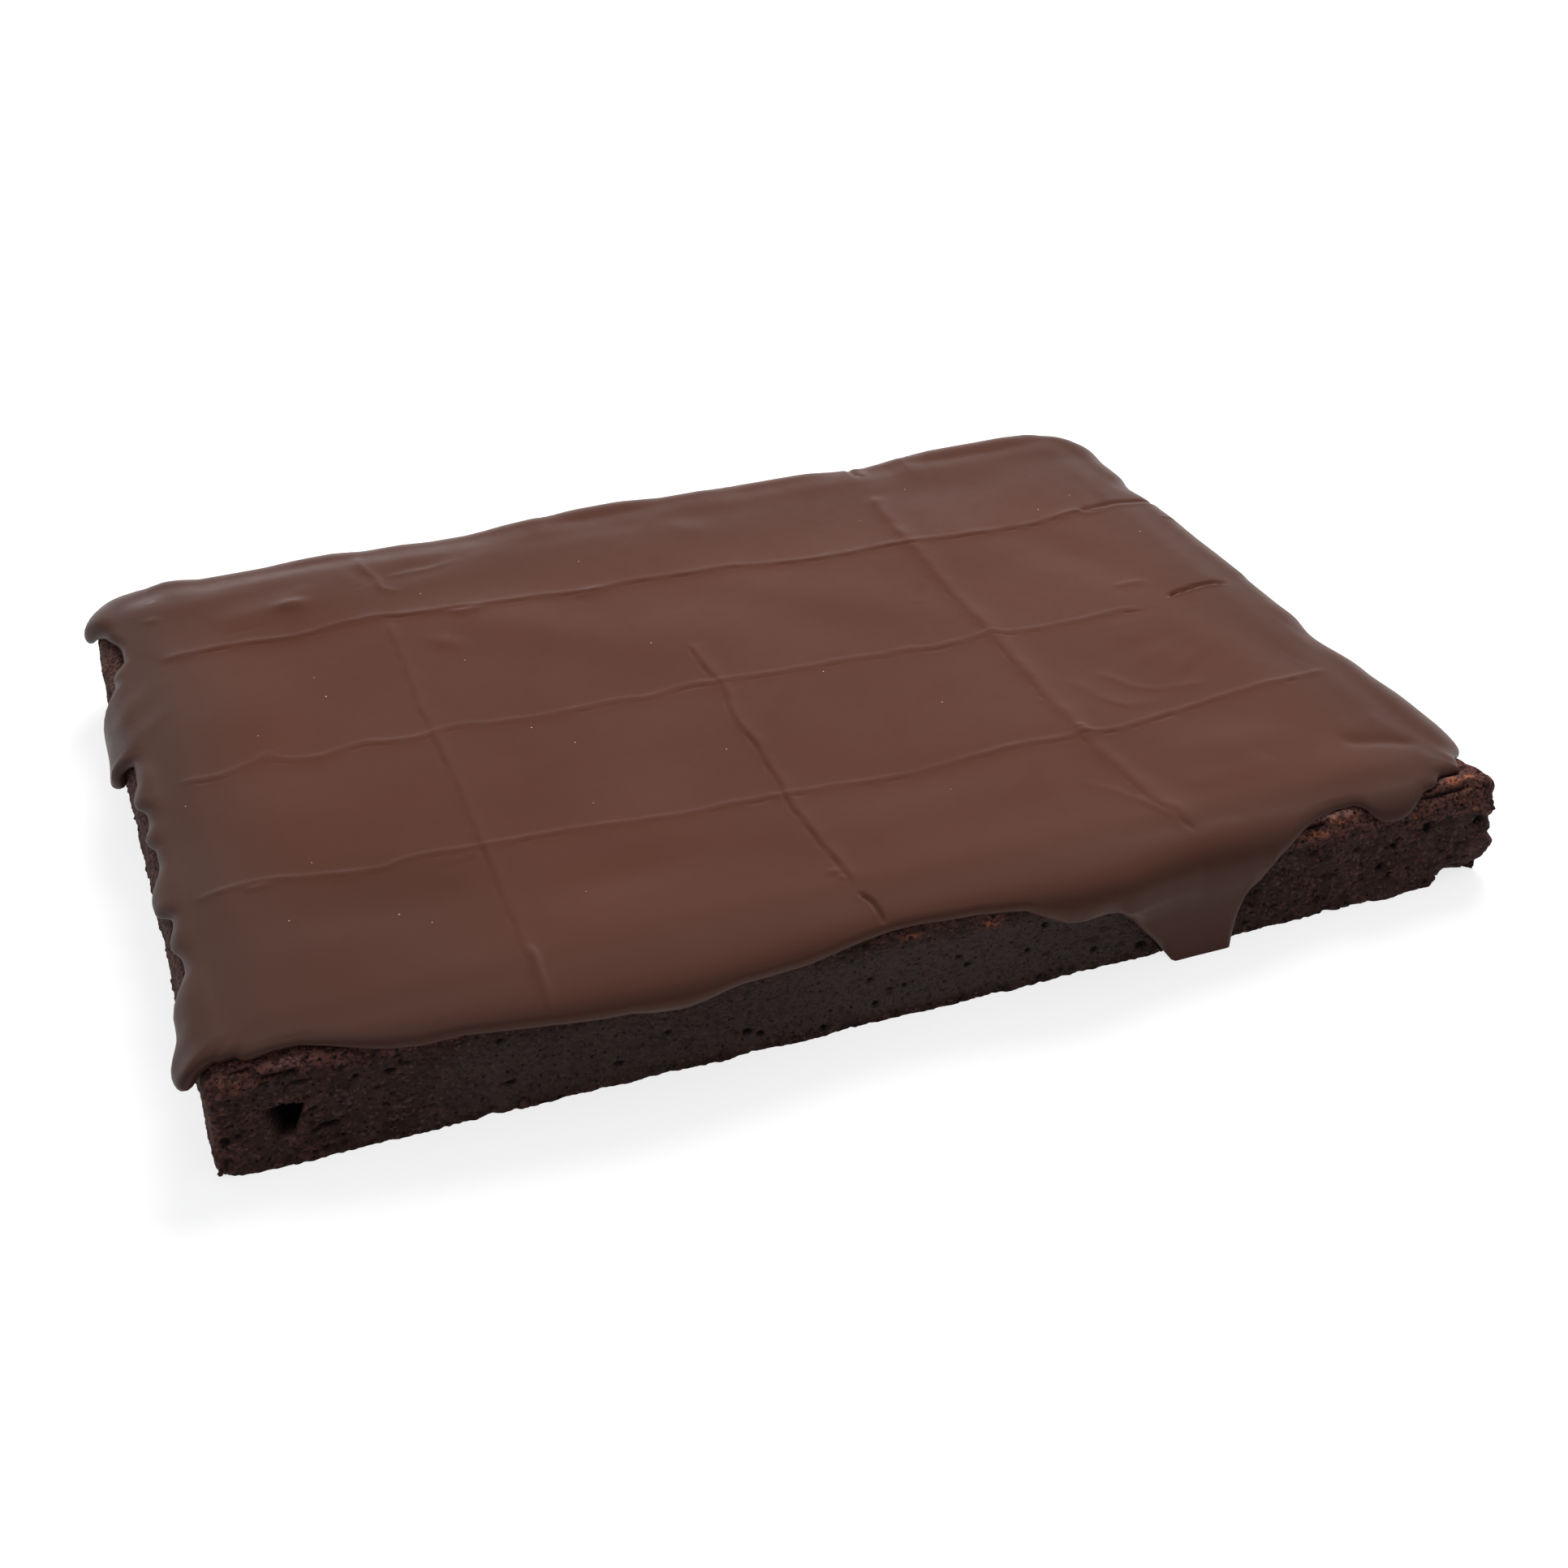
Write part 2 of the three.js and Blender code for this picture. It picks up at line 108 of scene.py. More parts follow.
# Odd factors that scatter the numbers of the noise's lattice
scramble = {"x": 73856093, "y": 19349663, "z": 83492791, "seed": 97561, "stir": 1274126177}


def scattered(at, seed):
    # a number for each place of the lattice, the same in each run
    code = (at[..., 0] * scramble["x"]) ^ (at[..., 1] * scramble["y"]) ^ (at[..., 2] * scramble["z"])
    code = code ^ (seed * scramble["seed"])
    return (code ^ (code >> 13)) * scramble["stir"]


def latticeNoise(points, cell, seed):
    # smooth noise between -1 and 1; cell is its grain in x, y and z
    grid = points / np.asarray(cell, float)
    base = np.floor(grid).astype(np.int64)
    ease = smooth(grid - base)
    total = np.zeros(points.shape[:-1])
    for corner in itertools.product((0, 1), repeat=3):
        code = scattered(base + np.array(corner), seed) & 0xFFFFFFFF
        value = ((code ^ (code >> 16)) & 0xFFFF) / 32767.5 - 1
        total += value * np.prod(np.where(np.array(corner) == 1, ease, 1 - ease), axis=-1)
    return total


def cellShade(points, cell, seed):
    # distance to the nearest of many scattered points, 0 on one of them
    grid = points / np.asarray(cell, float)
    base = np.floor(grid).astype(np.int64)
    nearest = np.full(points.shape[:-1], 9.0)
    for step in itertools.product((-1, 0, 1), repeat=3):
        at = base + np.array(step)
        code = scattered(at, seed) & 0xFFFFFFFFFFFF
        spot = np.stack([(code >> shift & 0xFFF) / 4096 for shift in (4, 16, 28)], axis=-1)
        nearest = np.minimum(nearest, np.linalg.norm(at + spot - grid, axis=-1))
    return nearest


# Each side of the slab: half its length, half the width across it, its corners,
# the direction along it and the direction out of it.
sides = {
    "front": (length / 2, width / 2, "frontLeft", "frontRight", (1, 0), (0, -1)),
    "right": (width / 2, length / 2, "frontRight", "backRight", (0, 1), (1, 0)),
    "back": (length / 2, width / 2, "backLeft", "backRight", (1, 0), (0, 1)),
    "left": (width / 2, length / 2, "frontLeft", "backLeft", (0, 1), (-1, 0)),
}
turnedSides = ("back", "left")   # the way round the slab goes against their own direction


def reachOf(half, inset, radius):
    # half the length of a side, measured round to the middle of its corner
    return half - inset - radius + radius * math.pi / 4


def sideSpan(side, corner):
    return reachOf(sides[side][0], 0, cornerRadius[corner])


def roundSlab(side, edge):
    # distance round the slab, anticlockwise from the middle of the front left corner
    gone = 0
    for name, (half, across, low, high, alongWay, outWay) in sides.items():
        if name == side:
            break
        gone += sideSpan(name, low) + sideSpan(name, high)
    if side in turnedSides:
        return gone + sideSpan(side, high) - edge
    return gone + edge + sideSpan(side, low)


wholeRound = roundSlab("left", -sideSpan("left", "frontLeft"))


def leaned(x, y):
    right = (x / length + 0.5) * slab["rightSlant"] * (-2 * y / width)
    back = (y / width + 0.5) * slab["backSlant"] * (2 * x / length)
    return x + right, y + back


def straightened(x, y):
    # undoes the lean, closely enough for a place on the slab
    u, v = x, y
    for step in range(3):
        a, b = leaned(u, v)
        u, v = u + x - a, v + y - b
    return u, v


class Stations:
    # places round the slab's edge, anticlockwise, and the cake's skin at each of them

    def __init__(self, places):
        names = [name for name, edge in places]
        self.side = np.array(names)
        self.edge = np.array([edge for name, edge in places])
        self.half = np.array([sides[name][0] for name in names])
        self.across = np.array([sides[name][1] for name in names])
        corners = [sides[name][2 if edge < 0 else 3] for name, edge in places]
        self.corner = np.array([cornerRadius[corner] for corner in corners])
        self.alongWay = np.array([sides[name][4] for name in names], float)
        self.outWay = np.array([sides[name][5] for name in names], float)
        self.round = np.array([roundSlab(name, edge) for name, edge in places])
        self.outer = self.outline(0)
        self.inner = self.outline(edgeRadius)
        self.border = self.outline(borderInset)
        self.wide = np.linalg.norm(self.outer - self.inner, axis=1)
        self.bulge = sumLobes(self.round, lobes, bulgeValue)
        self.tear = sumLobes(self.round, tears, tearValue)
        x, reach, square = np.array(frontRoll).T
        inFront = self.side == "front"
        self.reach = inFront * np.interp(self.outer[:, 0], x, reach)
        self.square = inFront * np.interp(self.outer[:, 0], x, square)

    def outline(self, inset):
        least = slab["leastRadius"] if inset < borderInset else 0
        radius = np.maximum(self.corner - inset, least)
        reach = reachOf(self.half, 0, self.corner)
        shrink = reach - reachOf(self.half, inset, radius)
        past = np.maximum(np.abs(self.edge) - (reach - cornerStretch), 0)
        t = np.abs(self.edge) - shrink * (past / cornerStretch) ** 2
        straight = self.half - inset - radius
        turn = np.clip((t - straight) / np.maximum(radius, 1e-6), 0, math.pi / 4)
        turn = np.where(radius > 0, turn, 0)
        along = np.minimum(t, straight) + radius * np.sin(turn)
        out = self.across - inset - radius + radius * np.cos(turn)
        return (np.sign(self.edge) * along)[:, None] * self.alongWay + out[:, None] * self.outWay

    def skin(self, run, out, push=0, power=1):
        # a point `out` away from the skin; the run starts where the top rounds over.
        # push: extra reach sideways alone; power: below 1 the edge is squarer.
        run = np.broadcast_to(run, self.round.shape)
        share = np.clip(-run / borderWidth, 0, None)[:, None]
        flat = mixed(self.inner, self.border, share)
        turn = np.clip(run / edgeRadius, 0, math.pi / 2)
        sideways = np.sin(turn) ** power * (1 + (out + push) / self.wide)
        over = self.inner + (self.outer - self.inner) * sideways[:, None]
        drop = np.maximum(run - arcLength, 0)
        rounded = cakeHeight - edgeRadius + (edgeRadius + out) * np.cos(turn) ** power - drop
        height = np.where(run <= 0, cakeHeight + out, rounded)
        ground = np.where((run <= 0)[:, None], flat, over)
        x, y = leaned(ground[:, 0], ground[:, 1])
        return np.stack([x, y, height], axis=1)


# How far the glaze runs down past the start of the rounded top edge, and its lobes. Each lobe is
# its place along the side, its reach before and after that, the level share of the reach,
# how much further the glaze runs there, and how much thicker it is.
commonDrop = 6.5
dropValue, bulgeValue = 4, 5
lobes = {
    "front": [
        (-137, 26, 32, 0.3, -6.3, 0), (-52, 40, 30, 0, 4.7, 0.3), (-3, 20, 28, 0, -2.1, 0),
        (45, 16, 20, 0.3, 6.3, 0.4), (74.5, 24, 10.5, 0.5, 22, 0.6), (86, 7, 7, 0, 7, 0),
        (109, 20, 14, 0.2, -7, 0), (123.5, 8, 7, 0, 0.4, 0.4), (145, 19, 24, 0.1, -8.4, 0)],
    "right": [
        (-98, 5, 5, 0, 0, 0.9), (-91, 8, 8, 0, -1.6, -0.9), (-72, 18, 22, 0.2, 3, 1.2),
        (-30, 18, 16, 0, -3, -1.3), (-4, 16, 12, 0.3, 5.5, -0.7), (32, 13, 10, 0.2, 9.5, -0.3),
        (58, 22, 20, 0, -2.5, -0.4), (64, 10, 8, 0, 0, -0.9), (88, 8, 8, 0, 0, 0.6)],
    "back": [
        (134, 12, 8, 0, 1, 0.5), (112, 22, 30, 0.35, 6, 2.6), (72, 12, 14, 0, -2.5, -0.8),
        (44, 14, 16, 0.2, 4, 0.5), (-6, 16, 22, 0.25, 9, 2.2), (-44, 14, 16, 0, -2, 0),
        (-86, 18, 14, 0.2, 5, 0.8)],
    "left": [
        (0, 100, 100, 0.8, -4, 0), (91, 12, 26, 0.3, 4.2, 1), (67, 12, 14, 0.2, -3, 0),
        (27, 12, 27, 0.3, 9.8, 0.3), (-1, 6, 8, 0, 1.3, 0), (-8, 5, 5, 0, -0.4, 0),
        (-16.5, 6, 5, 0, 1.4, 0.2), (-42, 8, 15, 0.1, 2.6, 0.3), (-58, 6, 7, 0, 1, 0.2),
        (-95, 6, 27, 0.55, 3.7, 0.8), (2, 14, 12, 0.3, 0, 0.9)],
}
# Where the lip alone stands out: the same, and then how far
tearValue = 4
tears = {"left": [(20, 8, 14, 0.1, 1.2), (-97, 5.5, 12, 0.4, 2.8)]}
lipWander = {"reach": 0.35, "grain": 9, "seed": 11}   # small unevenness of the lip
# The lip along the front as the camera sees it on the plane of the front face: x and z
frontLip = [
    (-147, 27.6), (-143, 27.4), (-140, 28.6), (-135, 29.6), (-130, 29.6), (-125, 27.9), (-120, 26),
    (-116, 24.4), (-112, 23.3), (-106, 22.2), (-97, 22.2), (-90, 21), (-85, 20.3), (-75, 18.8), (-67, 17.8),
    (-62, 17.6), (-57, 16.3), (-50, 15.5), (-45, 16.5), (-40, 18), (-37, 18.6), (-30, 18.9), (-22, 19.5),
    (-17, 20.7), (-9, 22.8), (-3, 23.8), (3, 23.9), (10, 23.2), (18, 22.7), (25, 21.6), (30, 20.5),
    (35, 17.2), (40, 14.4), (44, 13.6), (49, 14.1), (52, 14.2), (54.5, 13.5), (57, 11.3), (60, 7.6),
    (65, 2), (68, -2), (70, -6), (81, -6), (84, -2.4), (85, 0.6), (85.7, 4), (86.5, 8.5), (88, 11.6),
    (91, 13.8), (93, 16.6), (95, 19.4), (98, 23.6), (100, 25.8), (103, 28.2), (108, 29.6), (113, 29.6),
    (116, 28.2), (119, 25.2), (122, 22.7), (126, 22.1), (129, 23.2), (130.9, 26.2), (132.1, 28.8),
    (133.6, 31), (136, 32.6), (139, 34.5),
]
# How the run is found at which the lip is seen on that outline
lipSearch = {
    "from": -20, "past": 6, "steps": 180,
    "backs": (0, 0.25, 0.6, 1.1, 1.8, 2.6),    # places behind the lip, on its nose
    "first": -147, "fadeIn": 6, "last": 139, "fadeOut": 8,
}
# The nose of the glaze's lip, and the foot where its longest run meets the floor
nose = {
    "reach": 2.3, "belowFloor": 5,
    "footFrom": 2.5, "footSpread": 1.3, "footHeight": 2.5, "footNose": 0.8,
}
coat = {
    "thick": 3.5, "shoulder": 3.0, "fuller": 0.17,
    "bulgeStart": 3.5, "upperBulge": 0.6, "bulgeLead": 1.4, "tearLength": 6.5,
    "pushFade": 8.0,
}
# The poured edge along the front: x, how far it juts out and how square its turn is
frontRoll = [
    (-150, 0, 0), (-135, 0.3, 0.1), (-120, 0.8, 0.2), (-104, 1.6, 0.3), (-86, 2.8, 0.35), (-65, 4.2, 0.38),
    (-52, 4.6, 0.38), (-38, 3.8, 0.38), (-22, 2.4, 0.33), (-8, 1.4, 0.28), (15, 1.7, 0.28), (35, 3.8, 0.33),
    (50, 3.6, 0.32), (60, 1.8, 0.2), (68, 0.9, 0.12), (82, 0.8, 0.04), (95, 0.7, 0.04), (112, 0, 0),
]


def sumLobes(around, table, value):
    total = np.zeros_like(around)
    for side, places in table.items():
        for lobe in places:
            at, before, after, flat = lobe[:4]
            away = around - roundSlab(side, at)
            away = away - np.round(away / wholeRound) * wholeRound
            if side in turnedSides:
                away = -away
            share = np.abs(away) / np.where(away < 0, before, after)
            fall = np.clip((share - flat) / (1 - flat), 0, 1)
            total = total + lobe[value] * 0.5 * (1 + np.cos(math.pi * fall))
    return total


def outerSkin(stations, run, thickness, share):
    # the glaze's outer face, with the front's poured edge in it
    push = share * stations.reach * (1 - smooth((run - arcLength) / coat["pushFade"]))
    return stations.skin(run, thickness, push, 1 - stations.square)


def noseShape(away):
    return 0.5 + 0.5 * np.sqrt(1 - (1 - np.clip(away / nose["reach"], 0, 1)) ** 2)


def fullCoat(stations, drop, run):
    nearLip = (run - drop) / coat["tearLength"]
    bulge = stations.bulge * smooth((run + coat["bulgeStart"]) / arcLength)
    bulge = bulge * mixed(coat["upperBulge"], 1, smooth(nearLip + coat["bulgeLead"]))
    bulge = bulge + stations.tear * smooth(run / arcLength) * smooth(nearLip + 1)
    shoulder = coat["shoulder"] + coat["fuller"] * stations.reach
    return mixed(coat["thick"], shoulder, smooth(run / borderWidth + 1)) + bulge


def seenInFront(points):
    # where the camera sees the points on the plane of the front face
    eye = np.array(view["place"]) / mm
    share = (-width / 2 - eye[1]) / (points[..., 1] - eye[1])
    return eye[0] + (points[..., 0] - eye[0]) * share, eye[2] + (points[..., 2] - eye[2]) * share


def overOutline(stations, run):
    # how far over the measured outline the lowest part of the nose is seen, for one run
    outlineX, outlineZ = np.array(frontLip).T
    lowest = over = np.full(stations.round.shape, np.inf)
    for back in lipSearch["backs"]:
        share = noseShape(back) * np.ones(stations.round.shape)
        thickness = fullCoat(stations, run, run - back) * share
        x, z = seenInFront(outerSkin(stations, run - back, thickness, share))
        over = np.where(z < lowest, z - np.interp(x, outlineX, outlineZ), over)
        lowest = np.minimum(z, lowest)
    return over


def glazeDrop(stations):
    around = stations.round
    turn = around / wholeRound * 2 * math.pi
    circle = np.stack([np.cos(turn), np.sin(turn), turn * 0], axis=-1) * wholeRound / (2 * math.pi)
    wander = lipWander["reach"] * latticeNoise(circle, [lipWander["grain"]] * 3, lipWander["seed"])
    drop = commonDrop + sumLobes(around, lobes, dropValue) + wander
    # On the front it is the run at which the lip is seen on the measured outline.
    tries = np.linspace(lipSearch["from"], floorRun + lipSearch["past"], lipSearch["steps"])
    best = np.full(around.shape, np.nan)
    before = overOutline(stations, tries[0])
    for run in tries[1:]:
        over = overOutline(stations, run)
        crossed = (before > 0) & (over <= 0) & np.isnan(best)
        best = np.where(crossed, run - (tries[1] - tries[0]) * over / (over - before), best)
        before = over
    share = smooth((roundSlab("front", lipSearch["last"]) - around) / lipSearch["fadeOut"])
    share = share * smooth((around - roundSlab("front", lipSearch["first"])) / lipSearch["fadeIn"])
    share = np.where((stations.side == "front") & ~np.isnan(best), share, 0)
    drop = mixed(drop, np.nan_to_num(best), share)
    return np.minimum(drop, floorRun)


def standing(drop):
    # how far a run counts as standing on the floor, from 0 to 1
    return smooth((drop - floorRun) / nose["footFrom"] + 1)


class Lip:
    # the glaze's lower edge, drawn on the unrolled skin

    def __init__(self, stations):
        self.round = stations.round
        self.drop = glazeDrop(stations)
        self.run = self.drop + nose["belowFloor"] * standing(self.drop)
        ahead = np.roll(self.round, -1)
        ahead[-1] += wholeRound
        behind = np.roll(self.round, 1)
        behind[0] -= wholeRound
        slope = np.stack([ahead - behind, np.roll(self.run, -1) - np.roll(self.run, 1)], axis=1)
        slope /= np.linalg.norm(slope, axis=1)[:, None]
        self.inward = np.stack([slope[:, 1], -slope[:, 0]], axis=1)   # up and into the glaze

    def distance(self, around, run, window=40):
        # shortest way over the skin from each station's point to the lip
        nearest = np.full(run.shape, np.inf)
        for shift in range(-window, window):
            a, b = np.roll(self.round, shift), np.roll(self.round, shift - 1)
            ax = a - around
            ax = ax - np.round(ax / wholeRound) * wholeRound
            step = b - a
            step = step - np.round(step / wholeRound) * wholeRound
            ay = np.roll(self.run, shift) - run
            ey = np.roll(self.run, shift - 1) - np.roll(self.run, shift)
            t = np.clip(-(ax * step + ay * ey) / (step ** 2 + ey ** 2), 0, 1)
            nearest = np.minimum(nearest, np.hypot(ax + step * t, ay + ey * t))
        return nearest


def glazeThickness(stations, lip, run):
    share = noseShape(lip.distance(stations.round, run))
    onFloor = standing(lip.drop)
    foot = onFloor * nose["footSpread"] * np.exp(-(floorRun - run) / nose["footHeight"])
    full = fullCoat(stations, lip.drop, run)
    return full * mixed(share, np.maximum(share, nose["footNose"]), onFloor) + foot, share


# Marks in the poured top, each as the points its crest passes. lit and shade: how wide the
# ridge's flanks are to the left and the right of its direction; soft: how round its crest is;
# crease: how deep the broken line at the foot of its shaded flank is; tail: the share of the
# rise that falls away slowly behind it.
longMarks = [
    {"rise": 0.46, "lit": 0.62, "tail": 0.72, "shade": 0.8, "soft": 1.9, "crease": 0.12, "path": [
        (-137, 55.8), (-133, 57.8), (-123, 59), (-114, 58.8), (-103, 57.8), (-98, 58), (-90, 59.8),
        (-80, 60.6), (-72, 59.3), (-60, 58.3), (-50, 57.5), (-35, 56.7), (-25, 55.6), (-10, 56.2),
        (5, 55.6), (15, 55.7), (24, 54), (36, 52), (50, 51), (62, 51.5), (74, 50.3), (88, 49.8),
        (102, 49.8), (111, 50.8), (120, 52.8), (131, 52.6)]},
    {"rise": 0.25, "lit": 0.42, "tail": 0.44, "shade": 1.05, "soft": 2, "crease": 0.09, "path": [
        (-140.5, -0.6), (-136, 0.1), (-130, 0.1), (-122, 2.6), (-117, 3.6), (-113, 1.3), (-106, -0.1),
        (-96, 2.4), (-90, 1), (-83, 0.1), (-72, 1.8), (-64, 0), (-50, -1.1), (-40, -0.3), (-32, 0.4),
        (-25, -0.7), (-15, 1.2), (-8, 0), (2, -1.1), (18, -2.2), (26, -2.1), (35, -2.8), (45, -2.6),
        (52, -3.4), (61, -2.4), (69, -1), (76, -3), (94, -3.7), (104, -2.8), (113, -4.3)]},
    {"rise": 0.27, "lit": 0.42, "tail": 0.4, "shade": 0.88, "soft": 1.8, "crease": 0.1, "path": [
        (-143.5, -47.9), (-138, -46), (-126, -45.1), (-115, -47.5), (-103, -49.5), (-96, -47.9),
        (-84, -48.1), (-67, -48.8), (-52, -50.8), (-35, -52.7), (-20, -52.5), (5, -53.2), (20, -54.6),
        (38, -53.6), (50, -52.8), (64, -54), (69, -52.8), (74, -54.4), (84, -53.6), (96, -51.5),
        (115, -49.2), (128, -48), (138, -48), (141, -46.7)]},
]
crossMarks = [
    {"rise": 0.16, "lit": 1.4, "shade": 0.75, "soft": 0.6, "crease": 0.05, "path": [
        (-77.3, 58), (-77.5, 45), (-77.8, 25), (-78.5, 12), (-78.3, 0), (-78, -20), (-78.3, -35),
        (-78.5, -50), (-78.7, -60), (-78.9, -75), (-79.3, -90), (-80.1, -106)]},
    {"rise": 0.29, "lit": 1.8, "shade": 0.66, "soft": 0.5, "crease": 0.1, "path": [
        (-7.2, 20), (-6.7, 13), (-6.4, 5), (-5.4, -2), (-6.2, -9), (-7.6, -18), (-7.5, -25), (-6.8, -33),
        (-7.1, -45), (-7.9, -56), (-7.3, -65), (-6.9, -76), (-6.2, -83), (-5.9, -88), (-6.5, -92)]},
    {"rise": 0.42, "lit": 1.4, "shade": 1, "soft": 1.9, "crease": 0.06, "path": [
        (69.7, 82), (68.8, 72), (68.3, 62), (68.1, 52), (68.8, 42), (68.5, 30), (68.6, 18), (69.1, 5),
        (69.1, -8), (68.9, -20), (68.6, -33), (68.6, -46), (68.8, -52), (69.3, -62), (70.6, -72),
        (71.6, -80), (72.3, -86), (74.3, -92), (74.3, -98)]},
]
smallMarks = [
    {"rise": 0.28, "path": [
        (-77.3, 97.8), (-77.7, 90.8), (-77, 85.8), (-75.5, 80.8), (-75, 74.8), (-72, 72.3), (-70.8, 69.8)]},
    {"rise": 0.26, "path": [(-73.8, 80.5), (-65.8, 81.6), (-59.8, 82), (-51.8, 85)]},
    {"rise": 0.32, "lit": 0.3, "shade": 0.9, "path": [
        (-78.7, -86), (-78.8, -97), (-79.6, -106), (-80, -113)]},
    {"rise": 0.15, "path": [
        (56.2, -72.9), (59.7, -73.6), (62.7, -76.1), (65.2, -79.1), (67.2, -82.6), (69.2, -86.1),
        (71.2, -90.6), (72.7, -97.6)]},
    {"rise": 0.13, "lit": 1, "shade": 0.9, "path": [
        (77.2, -29.3), (78.7, -36.3), (81.2, -41.8), (84.7, -45.5), (88.7, -46.1), (94.7, -45.9)]},
    {"rise": 0.14, "lit": 0.8, "shade": 0.9, "path": [
        (84.5, -28.4), (88, -33.9), (91, -38.4), (95, -41.1), (101.5, -42.3), (110.5, -42.4)]},
    {"rise": 0.22, "path": [(109, 8.8), (113, 9.2), (121.5, 9.4)]},
    {"rise": 0.39, "path": [(-62.5, 57.6), (-57.5, 55.3), (-52, 57.2)]},
    {"rise": 0.42, "path": [(-27.2, 53.1), (-23.7, 54), (-19.7, 55.7)]},
    {"rise": 0.31, "path": [(-132.4, -46.4), (-128.9, -47.6), (-124.9, -46)]},
    {"rise": 0.16, "path": [(-89.5, -49.5), (-86, -52), (-80, -49.8)]},
    {"rise": 0.13, "path": [(-88.6, -54.1), (-88, -60.1)]},
    {"rise": 0.16, "path": [(-110.3, -47.7), (-109.4, -52)]},
    {"rise": 0.22, "lit": 2.5, "shade": 3.1, "path": [(126, -73.5), (131, -74.4), (137, -74), (143, -73)]},
    {"rise": 0.28, "lit": 3.6, "shade": 5, "path": [
        (113.8, -82.4), (123.8, -88.4), (130.8, -91.9), (137.8, -94.4), (144.8, -95.4)]},
    {"rise": -0.55, "lit": 1, "shade": 1.2, "path": [
        (124.5, -77.6), (131, -79.4), (137.5, -82.2), (144, -86.4)]},
    {"rise": 0.22, "lit": 2.8, "shade": 2.2, "path": [
        (79, -80.4), (92, -81.4), (100, -80.4), (107, -77.4)]},
    {"rise": 0.3, "lit": 4, "shade": 4, "path": [(103, -6), (103.5, -18), (106, -28), (111, -36)]},
    {"rise": 0.32, "lit": 2.5, "shade": 3.4, "path": [
        (-0.2, 89.7), (5.8, 85.7), (11.8, 80.7), (18.8, 75.7)]},
    {"rise": 0.35, "lit": 2.8, "shade": 3.9, "path": [
        (-121.9, 71.6), (-103.9, 73.6), (-91.9, 80.6), (-79.9, 85.6)]},
]
grooves = [
    {"deep": 1.7, "wide": 0.42, "lipRise": 0.22, "path": [
        (121.3, -1.5), (124, -0.1), (127, 0.4), (131, 1.2), (135, 1.5), (140, 0.6)]},
    {"deep": 0.55, "wide": 0.95, "lipRise": 0.12, "path": [
        (122, 52.3), (128, 53.1), (134, 53.9), (141, 53.3), (150, 52.5)]},
    {"deep": 1.1, "wide": 0.55, "lipRise": 0.15, "path": [
        (-6.9, -93.8), (-5.9, -96), (-5.1, -98), (-5, -101), (-5.3, -105)]},
    {"deep": 0.35, "wide": 0.8, "lipRise": 0.1, "path": [(72.3, -93), (73.4, -96.5), (73.6, -99.5)]},
    {"deep": 0.6, "wide": 0.9, "lipRise": 0.25, "path": [(70.6, 94), (70.9, 100), (71, 108)]},
]
# Low bumps: x, y, half length, half width, height and turn in degrees
bumps = [
    (-99.5, 73, 4.6, 3.4, 0.85, 0), (-65.5, 41.5, 5.5, 3.2, 0.42, -50), (-135, 77.2, 2.4, 1.8, 0.25, 0),
    (-9, -85.3, 1.6, 1.3, 0.28, 0), (-7.9, -88, 1.2, 1, 0.22, 0), (-118, 5, 2.2, 1.4, 0.16, 10),
    (57.5, 19.3, 1.8, 1.4, 0.14, 0), (62.5, 28.3, 1.6, 1.1, 0.14, 20), (66, -37, 1.3, 1, 0.16, 0),
    (69.3, -51, 1.6, 1.2, 0.2, 0),
]
markShape = {
    "lit": 0.55, "shade": 0.85, "soft": 1.6, "crease": 0.03, "tail": 0,   # unless a mark has its own
    "sample": 0.6,      # step along a mark
    "reach": 8.0, "flanks": 2.5,     # and how far off it is worked out
    "seeds": (40, 80, 120),
    "fade": 5.0,        # a mark dies away over this length at each end
    "tailReach": 12.0, "tailEnd": 2.5, "tailLoss": 0.08,
    "lump": 5.0, "lumpShare": 0.28,                            # its height comes and goes
    "wobble": 0.25, "wobbleGrain": 0.7,                        # and it wavers sideways
    "creaseOff": 1.9, "creaseWide": 0.5, "creaseGrain": 3.4, "creaseShare": 0.2,
}
grooveShape = {"reach": 8, "lipOff": 2.2, "lipWide": 1.4, "fade": 2.0}   # mostly in the groove's width
# Slow unevenness of the whole top, in waves and in noise
topWaves = {
    "swell": 0.18, "swellX": 19, "startX": 0.6, "swellY": 27, "startY": 0.3,
    "ripple": 0.12, "rippleLength": 14,
    "rolling": 0.30, "rollingGrain": 24, "seed": 5,
    "edgeShare": 0.85, "edgeFade": 4,     # what is left of it where the top rounds over
}


def curveThrough(points, step):
    # even samples of a smooth curve through the points
    p = np.array(points, float)
    p = np.vstack([2 * p[0] - p[1], p, 2 * p[-1] - p[-2]])
    found = []
    for i in range(1, len(p) - 2):
        a, b, c, d = p[i - 1], p[i], p[i + 1], p[i + 2]
        count = max(int(np.linalg.norm(c - b) / step), 2)
        for t in np.arange(count) / count:
            found.append(0.5 * (2 * b + (c - a) * t + (2 * a - 5 * b + 4 * c - d) * t * t
                                + (3 * b - a - 3 * c + d) * t ** 3))
    found.append(p[-2])
    return np.array(found)


